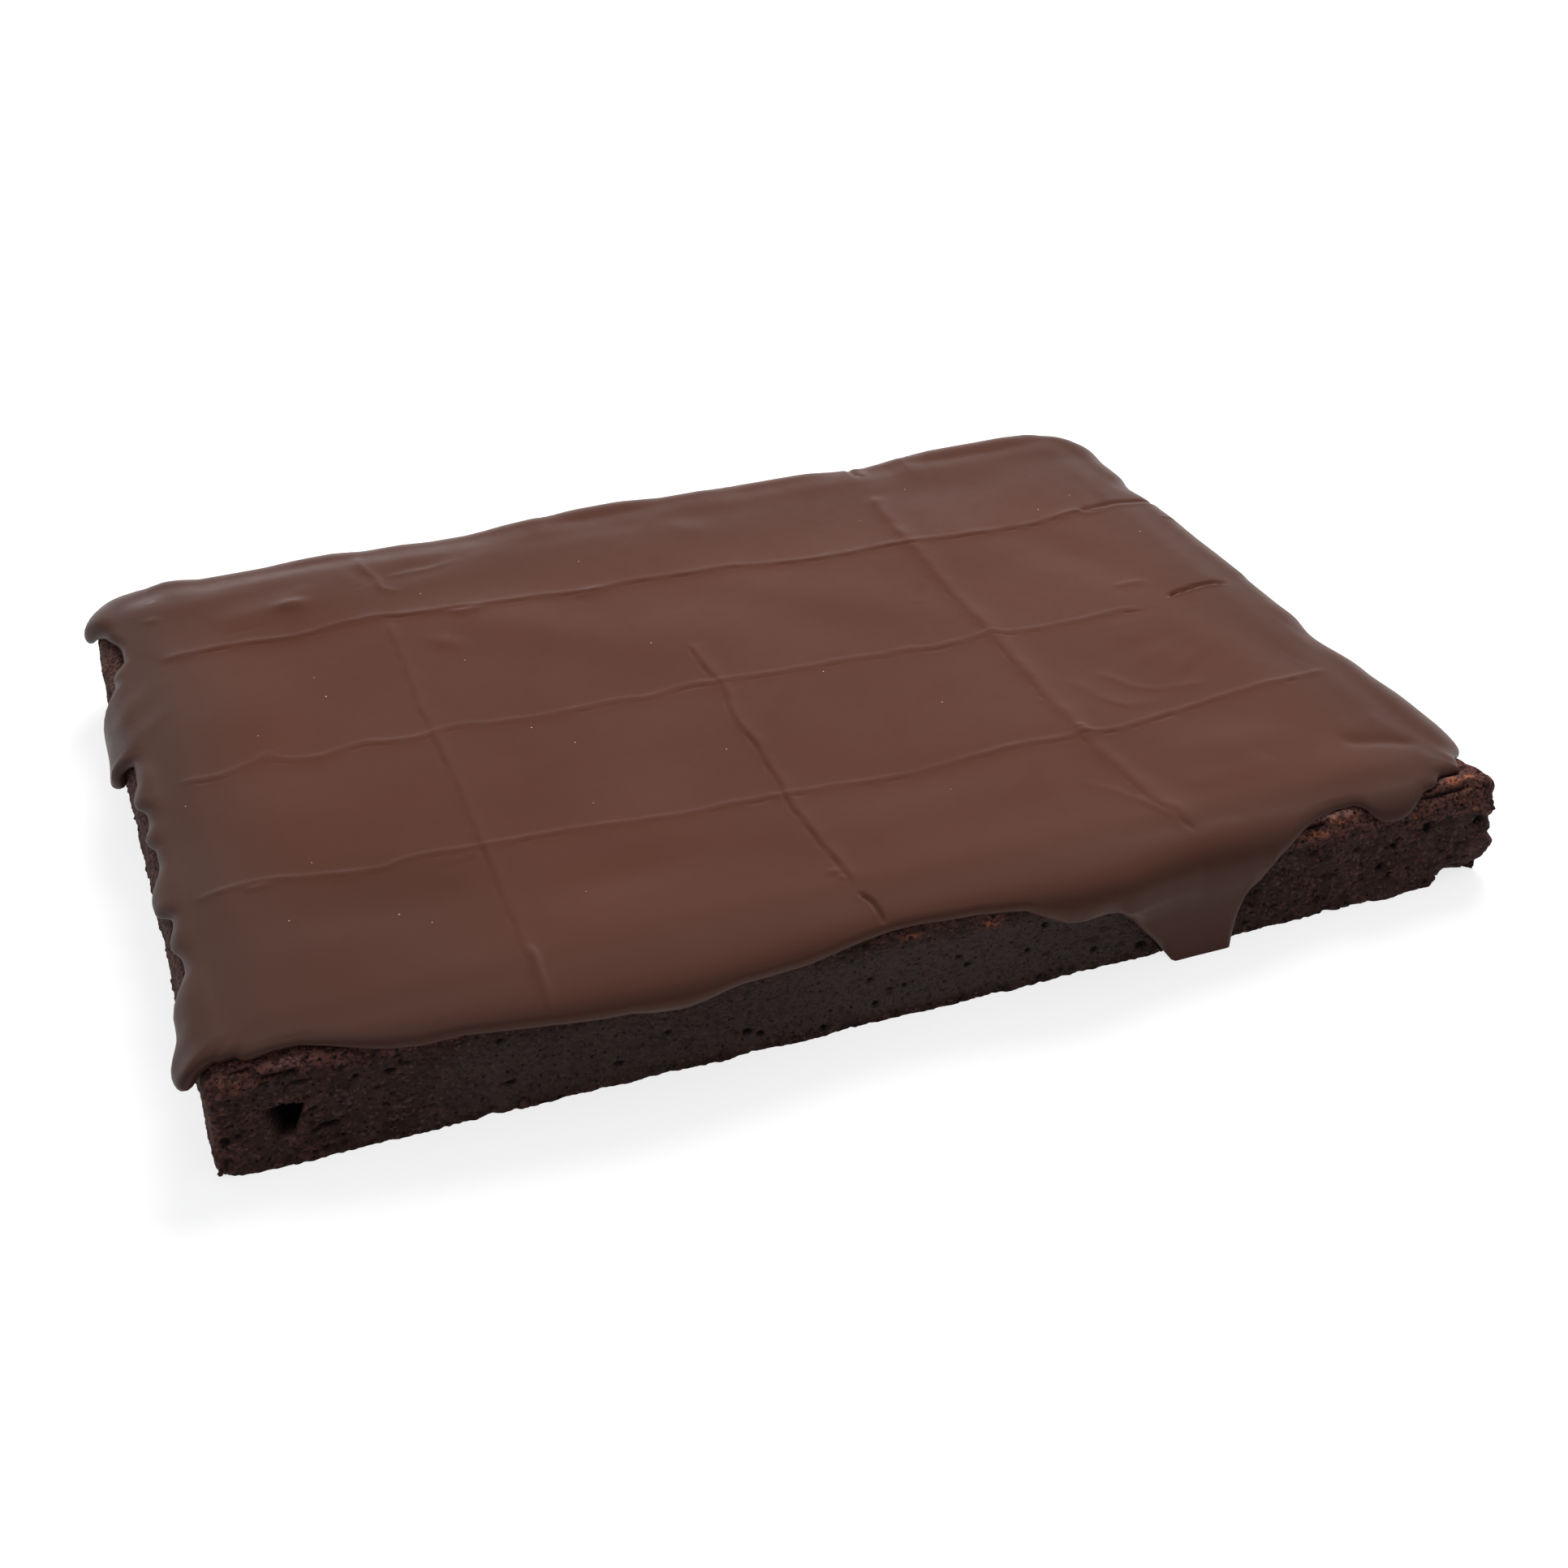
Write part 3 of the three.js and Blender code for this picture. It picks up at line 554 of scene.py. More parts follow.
def alongMark(x, y, path, reach, batch=4000):
    # for the points near a mark: which they are, how far off on which side, and where along it
    line = curveThrough(path, markShape["sample"])
    low, high = line.min(0) - reach, line.max(0) + reach
    near = np.flatnonzero((x > low[0]) & (x < high[0]) & (y > low[1]) & (y < high[1]))
    start, way = line[:-1], np.diff(line, axis=0)
    size = np.linalg.norm(way, axis=1)
    gone = np.concatenate([[0], np.cumsum(size)])
    off, along = np.empty(len(near)), np.empty(len(near))
    for first in range(0, len(near), batch):
        part = near[first:first + batch]
        dx = x[part][:, None] - start[:, 0]
        dy = y[part][:, None] - start[:, 1]
        t = np.clip((dx * way[:, 0] + dy * way[:, 1]) / size ** 2, 0, 1)
        ex, ey = dx - t * way[:, 0], dy - t * way[:, 1]
        gap = np.hypot(ex, ey)
        best = gap.argmin(1)
        pick = np.arange(len(part)), best
        side = np.sign(way[best, 0] * ey[pick] - way[best, 1] * ex[pick])
        off[first:first + batch] = gap[pick] * side
        along[first:first + batch] = gone[best] + t[pick] * size[best]
    return near, off, along, gone[-1]


def endFade(along, total, fade):
    fade = min(fade, total / 3)
    return smooth(along / fade) * smooth((total - along) / fade)


def markRelief(x, y):
    height = np.zeros_like(x)
    seeds = markShape["seeds"]
    for number, mark in enumerate(longMarks + crossMarks + smallMarks):
        shape = {**markShape, **mark}
        reach = shape["reach"] + shape["flanks"] * shape["shade"]
        reach += shape["tailEnd"] * shape["tailReach"] * (shape["tail"] > 0)
        near, off, along, total = alongMark(x, y, mark["path"], reach)
        place = np.stack([along, along * 0, along * 0], axis=1)
        lump = 1 + shape["lumpShare"] * latticeNoise(place, [shape["lump"]] * 3, seeds[0] + number)
        wobbleGrain = [shape["lump"] * shape["wobbleGrain"]] * 3
        off = off + shape["wobble"] * latticeNoise(place, wobbleGrain, seeds[1] + number)
        flank = off / np.where(off > 0, shape["lit"], shape["shade"])
        ridge = lump * np.exp(shape["soft"] - np.hypot(shape["soft"], flank))
        tail = np.exp(-np.abs(off) / shape["tailReach"]) - np.exp(-shape["tailEnd"])
        behind, ahead = mixed(ridge, tail, shape["tail"]), ridge * (1 - shape["tailLoss"] * shape["tail"])
        ridge = mark["rise"] * np.where(off > 0, behind, ahead)
        broken = latticeNoise(place, [shape["creaseGrain"]] * 3, seeds[2] + number)
        broken = np.clip(broken + shape["creaseShare"], 0, 1)
        foot = (off / shape["shade"] + shape["creaseOff"]) * shape["shade"] / shape["creaseWide"]
        crease = 2 * shape["crease"] * broken * np.exp(-foot ** 2)
        height[near] += (ridge - crease) * endFade(along, total, shape["fade"])
    for groove in grooves:
        wide = groove["wide"]
        near, off, along, total = alongMark(x, y, groove["path"], grooveShape["reach"] * wide)
        cut = -groove["deep"] * np.exp(-(off / wide) ** 2)
        beside = (off + grooveShape["lipOff"] * wide) / (grooveShape["lipWide"] * wide)
        rim = groove["lipRise"] * np.exp(-beside ** 2)
        height[near] += (cut + rim) * endFade(along, total, grooveShape["fade"])
    return height


# How much higher or lower the rim along the back is: x and the rise
backRim = {
    "starts": 84, "reach": 16,
    "rise": [
        (-144, -0.6), (-138, -1.2), (-134, -1.1), (-129, 0.4), (-125, 0.3), (-120, -0.6), (-100, -0.3),
        (-84, 0.2), (-76, -0.3), (-64, -0.4), (-56, -1.2), (-46, -1.2), (-40, -0.5), (-35, 0.3), (-26, 1.2),
        (-14, 0.5), (-5, 0.7), (8, 1.1), (24, 1.3), (35, 0.5), (45, 0.4), (55, 0.8), (69, 0.2), (76, -0.6),
        (81, -0.3), (87, 0.7), (93, 0.2), (100, 0), (115, 0.5), (128, 1), (140, 1.4), (150, 1.6)],
}
# Broad low swellings and hollows of the top: x, y, half length, half width, height and turn
swells = [
    (-100, 79, 48, 14, 0.6, 0), (0, 79, 50, 12, 0.35, 0), (-128, 84, 16, 6, 0.5, 5),
    (-95, 90, 22, 6, 0.5, 0), (-60, 84, 14, 5, -0.5, 15), (-20, 84, 20, 6, 0.3, 0),
    (-104, -62, 26, 9, -0.7, 0), (-55, -92, 44, 10, 0.55, 0), (25, -91, 34, 9, 0.5, 0),
    (114, -108, 22, 14, -1.4, 0), (25, -58, 24, 8, -0.5, 5), (-50, -70, 22, 7, -0.5, 5),
    (-40, 40, 28, 9, 0.4, -35), (35, 30, 34, 10, 0.4, -40), (95, 80, 20, 8, -0.4, 0),
    (-145.5, 37, 2.4, 8, 0.45, -30), (-143, 26, 2.2, 7, 0.35, -35), (108, 30, 9, 22, -0.5, 25),
    (118, -20, 8, 22, 0.3, 20), (135, -38, 9, 14, -0.6, 0), (100, -70, 16, 7, 0.4, 0),
]
sharpness = {"swells": 1, "bumps": 1.6}


def swelling(x, y, places, power):
    height = np.zeros_like(x)
    for placeX, placeY, a, b, rise, turn in places:
        c, s = math.cos(math.radians(turn)), math.sin(math.radians(turn))
        u, v = (x - placeX) * c + (y - placeY) * s, -(x - placeX) * s + (y - placeY) * c
        height += rise * np.exp(-((u / a) ** 2 + (v / b) ** 2) * power)
    return height


def topRelief(x, y):
    waves = topWaves
    slow = waves["swell"] * np.sin(x / waves["swellX"] + waves["startX"])
    slow = slow * np.cos(y / waves["swellY"] + waves["startY"])
    slow = slow + waves["ripple"] * np.sin((x - y) / waves["rippleLength"])
    points = np.stack([x, y, x * 0], axis=-1)
    slow = slow + waves["rolling"] * latticeNoise(points, [waves["rollingGrain"]] * 3, waves["seed"])
    rim = np.interp(x, *np.array(backRim["rise"]).T) * smooth((y - backRim["starts"]) / backRim["reach"])
    slow = slow + rim + swelling(x, y, swells, sharpness["swells"])
    slow = slow + swelling(x, y, bumps, sharpness["bumps"])
    return slow + markRelief(x.ravel(), y.ravel()).reshape(x.shape)


# The grid over the slab's top: lines crowd together where there is something to show.
# A band is the range of x or y that it covers and the step there.
glazeGrid = {
    "step": 1.7,
    "markStep": 0.42, "markReach": 2.2, "opening": 0.14,
    "columnBands": [
        (62.5, 68.5, 0.7), (82, 93, 0.6), (96, 120, 0.9), (122, 135.5, 0.7), (-135.5, -128, 0.8)],
    "rowBands": [(-89.5, -84, 0.7), (57, 82, 0.9), (12, 20, 0.8), (-45, -27, 0.8)],
    "topRings": 16, "sideRings": 20, "samples": 8001, "pathStep": 2.0,
}


def gridLines(limit, means, bands):
    fine = np.linspace(-limit, limit, glazeGrid["samples"])
    size = np.full(fine.shape, glazeGrid["step"])
    for mean in means:
        gap = np.maximum(np.abs(fine - mean) - glazeGrid["markReach"], 0)
        size = np.minimum(size, glazeGrid["markStep"] + glazeGrid["opening"] * gap)
    for low, high, step in bands:
        gap = np.maximum(np.maximum(low - fine, fine - high), 0)
        size = np.minimum(size, step + glazeGrid["opening"] * gap)
    count = np.concatenate([[0], np.cumsum(np.diff(fine) / (0.5 * (size[1:] + size[:-1])))])
    total = int(math.ceil(count[-1]))
    return np.interp(np.linspace(0, count[-1], total + 1), count, fine)


def straightPath(mark, axis):
    # a mark's path with the slab's lean undone, as height over place along the mark
    path = curveThrough(mark["path"], glazeGrid["pathStep"])
    u, v = straightened(path[:, 0], path[:, 1])
    along, across = (u, v) if axis == "x" else (v, u)
    order = np.argsort(along)
    return along[order], across[order]


longPaths = [straightPath(mark, "x") for mark in longMarks]
crossPaths = [straightPath(mark, "y") for mark in crossMarks]
longMeans = [float(path[1].mean()) for path in longPaths]
crossMeans = [float(path[1].mean()) for path in crossPaths]


def follow(paths, means, across, along, limit):
    # pulls the grid lines over so that those nearest to a mark run along it
    order = np.argsort(means)
    stops = [-limit] + [means[i] for i in order] + [limit]
    moved = across + 0 * along
    for k, i in enumerate(order):
        before = (across - stops[k]) / (means[i] - stops[k])
        after = (stops[k + 2] - across) / (stops[k + 2] - means[i])
        share = np.clip(np.minimum(before, after), 0, 1)
        moved = moved + share * (np.interp(along, *paths[i]) - means[i])
    return moved


def alongEdge(side, t):
    # where a grid line that is t from the middle meets the outer edge
    half, across, low, high = sides[side][:4]
    reach = reachOf(half, 0, cornerRadius[low if t < 0 else high])
    start = reach - cornerStretch
    extra = abs(t) - start
    if extra <= 0:
        return t
    bend = (reach - (half - borderInset)) / cornerStretch ** 2
    return math.copysign(start + (1 - math.sqrt(max(1 - 4 * bend * extra, 0))) / (2 * bend), t)


def meshPiece(name, points, faces, material):
    mesh = bpy.data.meshes.new(name)
    mesh.from_pydata((points * mm).tolist(), [], faces)
    mesh.validate()
    mesh.shade_smooth()
    mesh.materials.append(material)
    piece = bpy.data.objects.new(name, mesh)
    bpy.context.scene.collection.objects.link(piece)
    return piece


def ringFaces(lower, upper, count):
    # quads between two rings of vertices, seen from outside with the lower one below
    i = np.arange(count)
    j = (i + 1) % count
    return np.stack([lower + i, lower + j, upper + j, upper + i], axis=1).tolist()


def fanFaces(ring, middle, count, outward):
    # triangles from a ring of vertices to one in its middle
    i = np.arange(count)
    j = (i + 1) % count
    pair = [ring + i, ring + j] if outward else [ring + j, ring + i]
    return np.stack(pair + [np.full(count, middle)], axis=1).tolist()


# The glaze's underside: the turn under the nose, in degrees and as a share of its thickness,
# then how far behind the lip and how far off the cake it lies
under = {
    "angles": (25, 50, 75), "share": 0.5,
    "steps": ((0, -0.5), (1.2, -0.35), (3, 0.05)), "aboveFloor": 0.5,
    "topStep": 4, "gap": 0.05,
}


def underRing(stations, lip, back, full, share):
    # a ring that lies `back` inwards from the lip, straight across the lip
    around = stations.round + lip.inward[:, 0] * back
    run = lip.drop + lip.inward[:, 1] * back
    ring = outerSkin(stations, run, full * share, share)
    ahead = np.roll(ring, -1, axis=0) - np.roll(ring, 1, axis=0)
    ahead[:, 2] = 0
    ahead /= np.linalg.norm(ahead, axis=1)[:, None]
    return ring + ahead * (around - stations.round)[:, None]


def glazeRings(stations, lip):
    rings = []
    bend = np.minimum(lip.drop - nose["reach"], arcLength)
    topShares = (np.arange(glazeGrid["topRings"]) + 1) / glazeGrid["topRings"]
    sideSteps = (np.arange(glazeGrid["sideRings"]) + 1) / glazeGrid["sideRings"]
    sideShares = np.sin(sideSteps * math.pi / 2)
    runs = [mixed(-borderWidth, bend, share) for share in topShares]
    runs += [mixed(bend, lip.drop, share) for share in sideShares]
    for run in runs:
        ring = outerSkin(stations, run, *glazeThickness(stations, lip, run))
        fade = np.where(run < arcLength, mixed(topWaves["edgeShare"], 1, smooth(-run / borderWidth)), 0)
        fade = fade * smooth((arcLength - run) / topWaves["edgeFade"])
        ring[:, 2] += fade * topRelief(ring[:, 0], ring[:, 1])
        rings.append(ring)

    # The nose turns under the lip and back to the cake, then the glaze lies on the cake.
    onFloor = standing(lip.drop)
    half = under["share"]
    full = glazeThickness(stations, lip, lip.drop)[0] / half * mixed(1, half / nose["footNose"], onFloor)
    for angle in np.radians(under["angles"]):
        back = nose["reach"] * (1 - np.cos(angle)) * (1 - onFloor)
        rings.append(underRing(stations, lip, back, full, half * (1 - np.sin(angle))))
    flat = np.ones(stations.round.shape)
    lowest = floorRun - under["aboveFloor"]
    for depth, out in under["steps"]:
        run = np.minimum(lip.drop - (nose["reach"] + depth), lowest)
        rings.append(stations.skin(run, flat * out))
    run = np.minimum(lip.drop - nose["reach"] - under["topStep"], 0)
    rings.append(stations.skin(run, flat * under["gap"]))
    rings.append(stations.skin(-borderWidth * flat, flat * under["gap"]))
    for ring in rings:
        ring[:, 2] = np.maximum(ring[:, 2], 0)
    return rings


def makeGlaze(material):
    limitX, limitY = length / 2 - borderInset, width / 2 - borderInset
    columns = gridLines(limitX, crossMeans, glazeGrid["columnBands"])
    rows = gridLines(limitY, longMeans, glazeGrid["rowBands"])
    wideX, wideY = np.meshgrid(columns, rows)
    gridX = follow(crossPaths, crossMeans, wideX, wideY, limitX)
    gridY = follow(longPaths, longMeans, wideY, wideX, limitY)
    places = []
    for side, line in (("front", gridX[0, :-1]), ("right", gridY[:-1, -1]),
                       ("back", gridX[-1, :0:-1]), ("left", gridY[:0:-1, 0])):
        places += [(side, alongEdge(side, t)) for t in line]
    stations = Stations(places)
    rings = glazeRings(stations, Lip(stations))
    count = len(places)

    x, y = leaned(gridX, gridY)
    top = np.stack([x, y, cakeHeight + coat["thick"] + topRelief(x, y)], axis=-1).reshape(-1, 3)
    index = np.arange(len(top)).reshape(gridX.shape)
    quads = np.stack([index[:-1, :-1], index[:-1, 1:], index[1:, 1:], index[1:, :-1]], axis=-1)
    faces = quads.reshape(-1, 4).tolist()
    border = np.concatenate([index[0, :-1], index[:-1, -1], index[-1, :0:-1], index[:0:-1, 0]])
    start = len(top)
    i = np.arange(count)
    joined = [start + i, start + (i + 1) % count, np.roll(border, -1), border]
    faces += np.stack(joined, axis=1).tolist()
    for k in range(1, len(rings)):
        faces += ringFaces(start + k * count, start + (k - 1) * count, count)
    end = start + len(rings) * count
    faces += fanFaces(end - count, end, count, False)
    points = np.vstack([top] + rings + [[[0, 0, cakeHeight + under["gap"]]]])
    piece = meshPiece("chocolateGlaze", points, faces, material)
    tone = piece.data.attributes.new("paintedSheen", "FLOAT", "POINT")
    tone.data.foreach_set("value", paintedSheen(points[:, 0], points[:, 1]))
    return piece


# Painted sheen: the glaze is painted a greyer brown towards its edges, standing in for the sky's
# reflection there: how far out that begins, over what length it grows, and how much of it there is;
# more at the front's ends and in the front left corner.
sheenPaint = {
    "left": (112, 34, 1), "right": (118, 26, 0.6), "front": (84, 16, 0.45), "back": (55, 30, 0.35),
    "frontMiddle": -10, "frontEnds": (80, 50),
    "cornerX": (60, 50), "cornerY": (25, 40), "corner": 0.45,
}


def beyond(value, start, over):
    return smooth((value - start) / over)


def paintedSheen(x, y):
    kept = 1
    for side, away in (("left", -x), ("right", x), ("front", -y), ("back", y)):
        start, over, most = sheenPaint[side]
        share = most * beyond(away, start, over)
        if side == "front":
            share = share * (1 + beyond(np.abs(x - sheenPaint["frontMiddle"]), *sheenPaint["frontEnds"]))
        kept = kept * (1 - share)
    corner = sheenPaint["corner"] * beyond(-x, *sheenPaint["cornerX"]) * beyond(-y, *sheenPaint["cornerY"])
    return 1 - kept * (1 - corner)


print("glaze shape ready")


# The cake: relief of its bare sides, in millimetres, and what shows on its front.
# Places on the front are (x, z) on the front face's plane as the camera sees them.
crumbGrid = {
    "front": 0.42, "right": 0.95, "back": 0.95, "left": 0.9,
    "row": 0.45, "arc": 0.62, "topRuns": (-7.5, -5.2, -3.3, -1.9, -0.8),
}
# Noises over the cake: the grain in x, y and z, and the seed
crumbNoise = {
    "drift": ((38, 38, 12), 21), "lump": ((9, 9, 5), 22), "layer": ((7, 7, 1.3), 23),
    "granule": ((1.9, 1.9, 1.1), 24), "fine": ((1, 1, 0.75), 25), "lumpy": ((1.5, 1.5, 1.1), 31),
    "worn": ((3, 3, 2.2), 33), "foot": ((3.4, 3.4, 1.6), 34), "footFine": ((1.1, 1.1, 0.9), 35),
    "spots": ((5, 5, 2.4), 36), "tiny": ((1.5, 1.5, 1.1), 37), "lift": ((2.2, 2.2, 2.2), 38),
    "pale": ((0.9, 0.9, 0.7), 39),
}
crumb = {
    "lump": 0.36, "layer": 0.34, "granule": 0.30, "fine": 0.30,
    "even": 0.45,            # a grain's shade at which it neither stands out nor sinks in
    # hollowFrom, hollowShare: painted shade in the gaps between grains
    "hollowFrom": (0.70, 0.30), "hollowShare": 0.5,     # the gaps between grains are darker
    # pitDark: where in a front pit its painted shade begins, and over what it grows full
    "lumpy": (0.75, 0.9), "pitDark": (0.25, 0.4), "roundness": 1.5,
    # what is left of each where the face is smooth and fudgy
    "smoothShare": 0.30, "smoothLump": 0.6, "smoothFine": 0.5,
    "ragged": 0.22, "raggedHeight": 1.6, "lift": 0.12,
    "spread": 1.3, "spreadHeight": 5.0, "spreadShare": 0.4,   # the foot stands out a little
    "spreadLeft": (-149.5, 5), "spreadRight": (-152, 18),
    "waist": 0.3, "waistTop": 20, "waistFade": 4,
    "crown": 1.2, "free": 9,      # the most that it may stand out, on the top and on the sides
    "lipFrom": -1.2, "lipOver": 2.0,
    "below": 2.5,      # the underside is this far inside the foot
}
# Where the face is smooth and fudgy, and the ends where it is crusted: from where, over what length
fudgy = {
    "left": (-112, 16), "right": (-84, 22), "top": (-21, 5), "bottom": (0.5, 3),
    "drift": (1.4, 0.35), "hiddenTop": (-19, 5), "hiddenShare": 0.85,
    # tone: painted shade, less of the lighter fudgy grey on the left of the front, where less light falls,
    # full from its middle on; hiddenTone: the share on the other sides
    "tone": (-50, 50), "leftTone": 0.6, "hiddenTone": 0.8,
}
crustEnds = {"right": (90, 16), "left": (118, 12)}
crust = {
    "from": 19.5, "over": 3.0, "spots": 2.5, "upper": 0.8,
    "endGrains": 0.30, "grains": 0.10, "grainFrom": 0.3, "grainSpots": 0.5,
    "middle": 0.35, "frontFrom": (20.5, 3), "hidden": 0.75,
    "leftEdge": (146.5, 2), "leftEdgeShare": 0.55,
    "leftSide": (0.6, 0.3), "orange": 2, "orangeGrain": (0.75, 0.5),
    "paleLeft": 0.08, "paleGrain": (0.5, 0.9), "palePits": 0.7,
}
nowhere, somewhere = 999, 500      # x of the points that aren't on the front, and what tells them
# Pits and grains all round: how many, their size, how long they are and how deep
scatter = {
    "pits": 900, "bumps": 240, "seed": 7, "height": 22,
    "lowShare": 0.6, "powers": (2, 0.4),     # more bumps near the foot and near the top
    "size": (0.24, 0.46), "large": 1.7, "usual": 0.95, "reach": 3,
    "stretch": (1.2, 2.8), "depth": (0.8, 1.6), "bumpShare": 0.8, "calm": 0.35, "roundness": 1.4,
}
# Pits of the front: x, z, half width, half height and depth
frontPits = [
    (-146, 12.5, 1.1, 0.6, 0.8), (-147.2, 9, 1.3, 1, 1.2), (-126.5, 7.2, 2.6, 0.8, 1.1),
    (-120, 18, 0.9, 0.6, 0.9), (-112.8, 17.4, 1.4, 0.7, 1), (-88.5, 6.7, 1.6, 0.5, 0.9),
    (-90, 18.5, 0.9, 0.6, 0.8), (-36, 5, 1.2, 0.8, 1.1), (-33, 4, 1, 0.6, 0.8), (-7.2, 11, 0.9, 0.6, 0.9),
    (-18.5, 1.8, 0.9, 0.6, 0.8), (14, 11.5, 0.8, 0.6, 0.8), (1, 7.6, 0.7, 0.5, 0.7),
    (-2.5, 7.3, 0.7, 0.5, 0.7), (-6, 4.5, 0.8, 0.6, 0.8), (16, 9, 0.8, 0.5, 0.7), (31, 9, 0.8, 0.6, 0.8),
    (35, 15, 1, 0.6, 0.9), (124, 8.5, 1.4, 1.2, 1.5), (126.5, 6, 1, 0.8, 1.2), (136, 17, 1, 1.8, 1.5),
    (127.5, 16, 1, 0.8, 1.1), (127, 14, 0.8, 0.7, 0.9), (149.5, 16.5, 1.8, 1.5, 1.6),
    (-142, 26.8, 2.2, 0.5, 0.9), (-131, 20.2, 3.2, 0.4, 0.8), (137.5, 26.6, 6.5, 0.6, 1.4),
    (103, 26, 3.2, 0.6, 1.5), (60, 3.2, 1.6, 0.7, 0.9), (-65, 5, 1.4, 0.5, 0.7), (-54, 10, 1.1, 0.5, 0.6),
    (48, 5, 1.2, 0.6, 0.8),
]
# Lumps of the front: x, z, half width, half height and how far they stand out
frontLumps = [
    (-144, 22.5, 3.4, 2.2, 0.8), (-133, 26.2, 4, 1.6, 0.8), (-124, 25, 4, 1.8, 0.5),
    (-147, 3, 2.2, 1.8, 1.4), (-128, 3.2, 3, 1.3, 0.6), (-99, 5.2, 3.6, 1.4, 0.5), (-38, 5, 0.8, 0.7, 0.7),
    (102.5, 22, 4.4, 1.8, 0.8), (108.5, 28.2, 6.2, 2.2, 1.1), (139, 31, 8, 2.6, 1.1),
    (151, 18.8, 2.4, 1.4, 1.3), (146, 8, 3.4, 2.6, 0.7), (118, 21, 5, 1.6, 0.5), (131, 20.5, 3.6, 1.6, 0.6),
    (21, 19, 4, 1.6, 0.4), (1, 20.5, 5, 1.6, 0.5), (111.5, 0.6, 1.6, 0.9, 1), (-85.5, 0.6, 1.6, 0.8, 0.9),
    (-60, 2, 4, 1, 0.4), (40, 1.6, 4, 1, 0.5),
]
# Where the crust is a strong orange brown: x, z, half width and half height
orangeSpots = [
    (103.5, 23.2, 6, 2), (111, 26.2, 6, 1.8), (-144, 22.6, 3.4, 2), (139, 29, 9, 1.7), (21, 19.4, 4, 1.6),
    (2, 21.2, 3, 0.9), (131.5, 22, 3, 1), (146, 20.5, 2.6, 1),
]
# Where it is pale: how much, then the same
paleSpots = [(2.2, (108.5, 28.9, 7, 2.1)), (0.6, (151, 18.5, 2, 1.2)), (0.35, (-131, 26, 7, 1.6)),
             (1.6, (140, 33.2, 9, 2.8))]
# The hole in the left of the front, and the smooth hollow over it. Both have painted shade: darkRim is
# how far in from the hole's edge it grows full, dark where up the hollow it begins and over what it grows.
holeOutline = [
    (-139.8, 14.8), (-135, 15.2), (-130.5, 14.3), (-131.9, 10.6), (-133.6, 6.6), (-136.9, 6.6),
    (-138.4, 11),
]
hole = {"deep": 6.5, "rim": 1.0, "darkRim": 0.5}
hollow = {
    "left": -139.8, "right": -130.6, "fades": (1.4, 1.8), "top": 24.0, "bottom": 19.4,
    "deep": 2.4, "curve": 1.3, "smooth": 0.9, "dark": (0.6, 0.4),
}
# How far the front right corner is worn away at a height, and how high the chip under it goes
rightCorner = {
    "height": (0, 1.5, 3, 4.5, 6, 8, 10, 13, 16, 19, 22, 25),
    "worn": (1.6, 1.2, 0.4, -1, -1.9, -2.2, -2, -1.4, -0.4, -1, -1, -3), "reach": 9, "ragged": 0.5,
}
chip = {
    "x": (137, 138, 140, 142, 143.5, 145, 147, 148.5, 151, 152.5, 154, 157),
    "top": (-1, 0, 1.5, 3.5, 4.6, 4.4, 2.8, 2.2, 4, 6, 9.5, 14), "slope": 0.6,
}


def placesRound(steps):
    places = []
    for side in sides:
        first, last = -sideSpan(side, sides[side][2]), sideSpan(side, sides[side][3])
        if side in turnedSides:
            first, last = last, first
        count = int(abs(last - first) / steps[side])
        places += [(side, mixed(first, last, i / count)) for i in range(count)]
    return places


def insideOf(outline, x, z):
    # distance inwards from the outline, and 0 outside it
    inside = np.zeros(x.shape, bool)
    gap = np.full(x.shape, np.inf)
    for (ax, az), (bx, bz) in zip(outline, outline[1:] + outline[:1]):
        crossed = ((az > z) != (bz > z)) & (x < (bx - ax) * (z - az) / (bz - az + 1e-9) + ax)
        inside ^= crossed
        dot = (x - ax) * (bx - ax) + (z - az) * (bz - az)
        t = np.clip(dot / ((bx - ax) ** 2 + (bz - az) ** 2), 0, 1)
        gap = np.minimum(gap, np.hypot(x - ax - t * (bx - ax), z - az - t * (bz - az)))
    return np.where(inside, gap, 0)


def blob(x, z, place):
    away = ((x - place[0]) / place[2]) ** 2 + ((z - place[1]) / place[3]) ** 2
    return np.exp(-away ** crumb["roundness"])


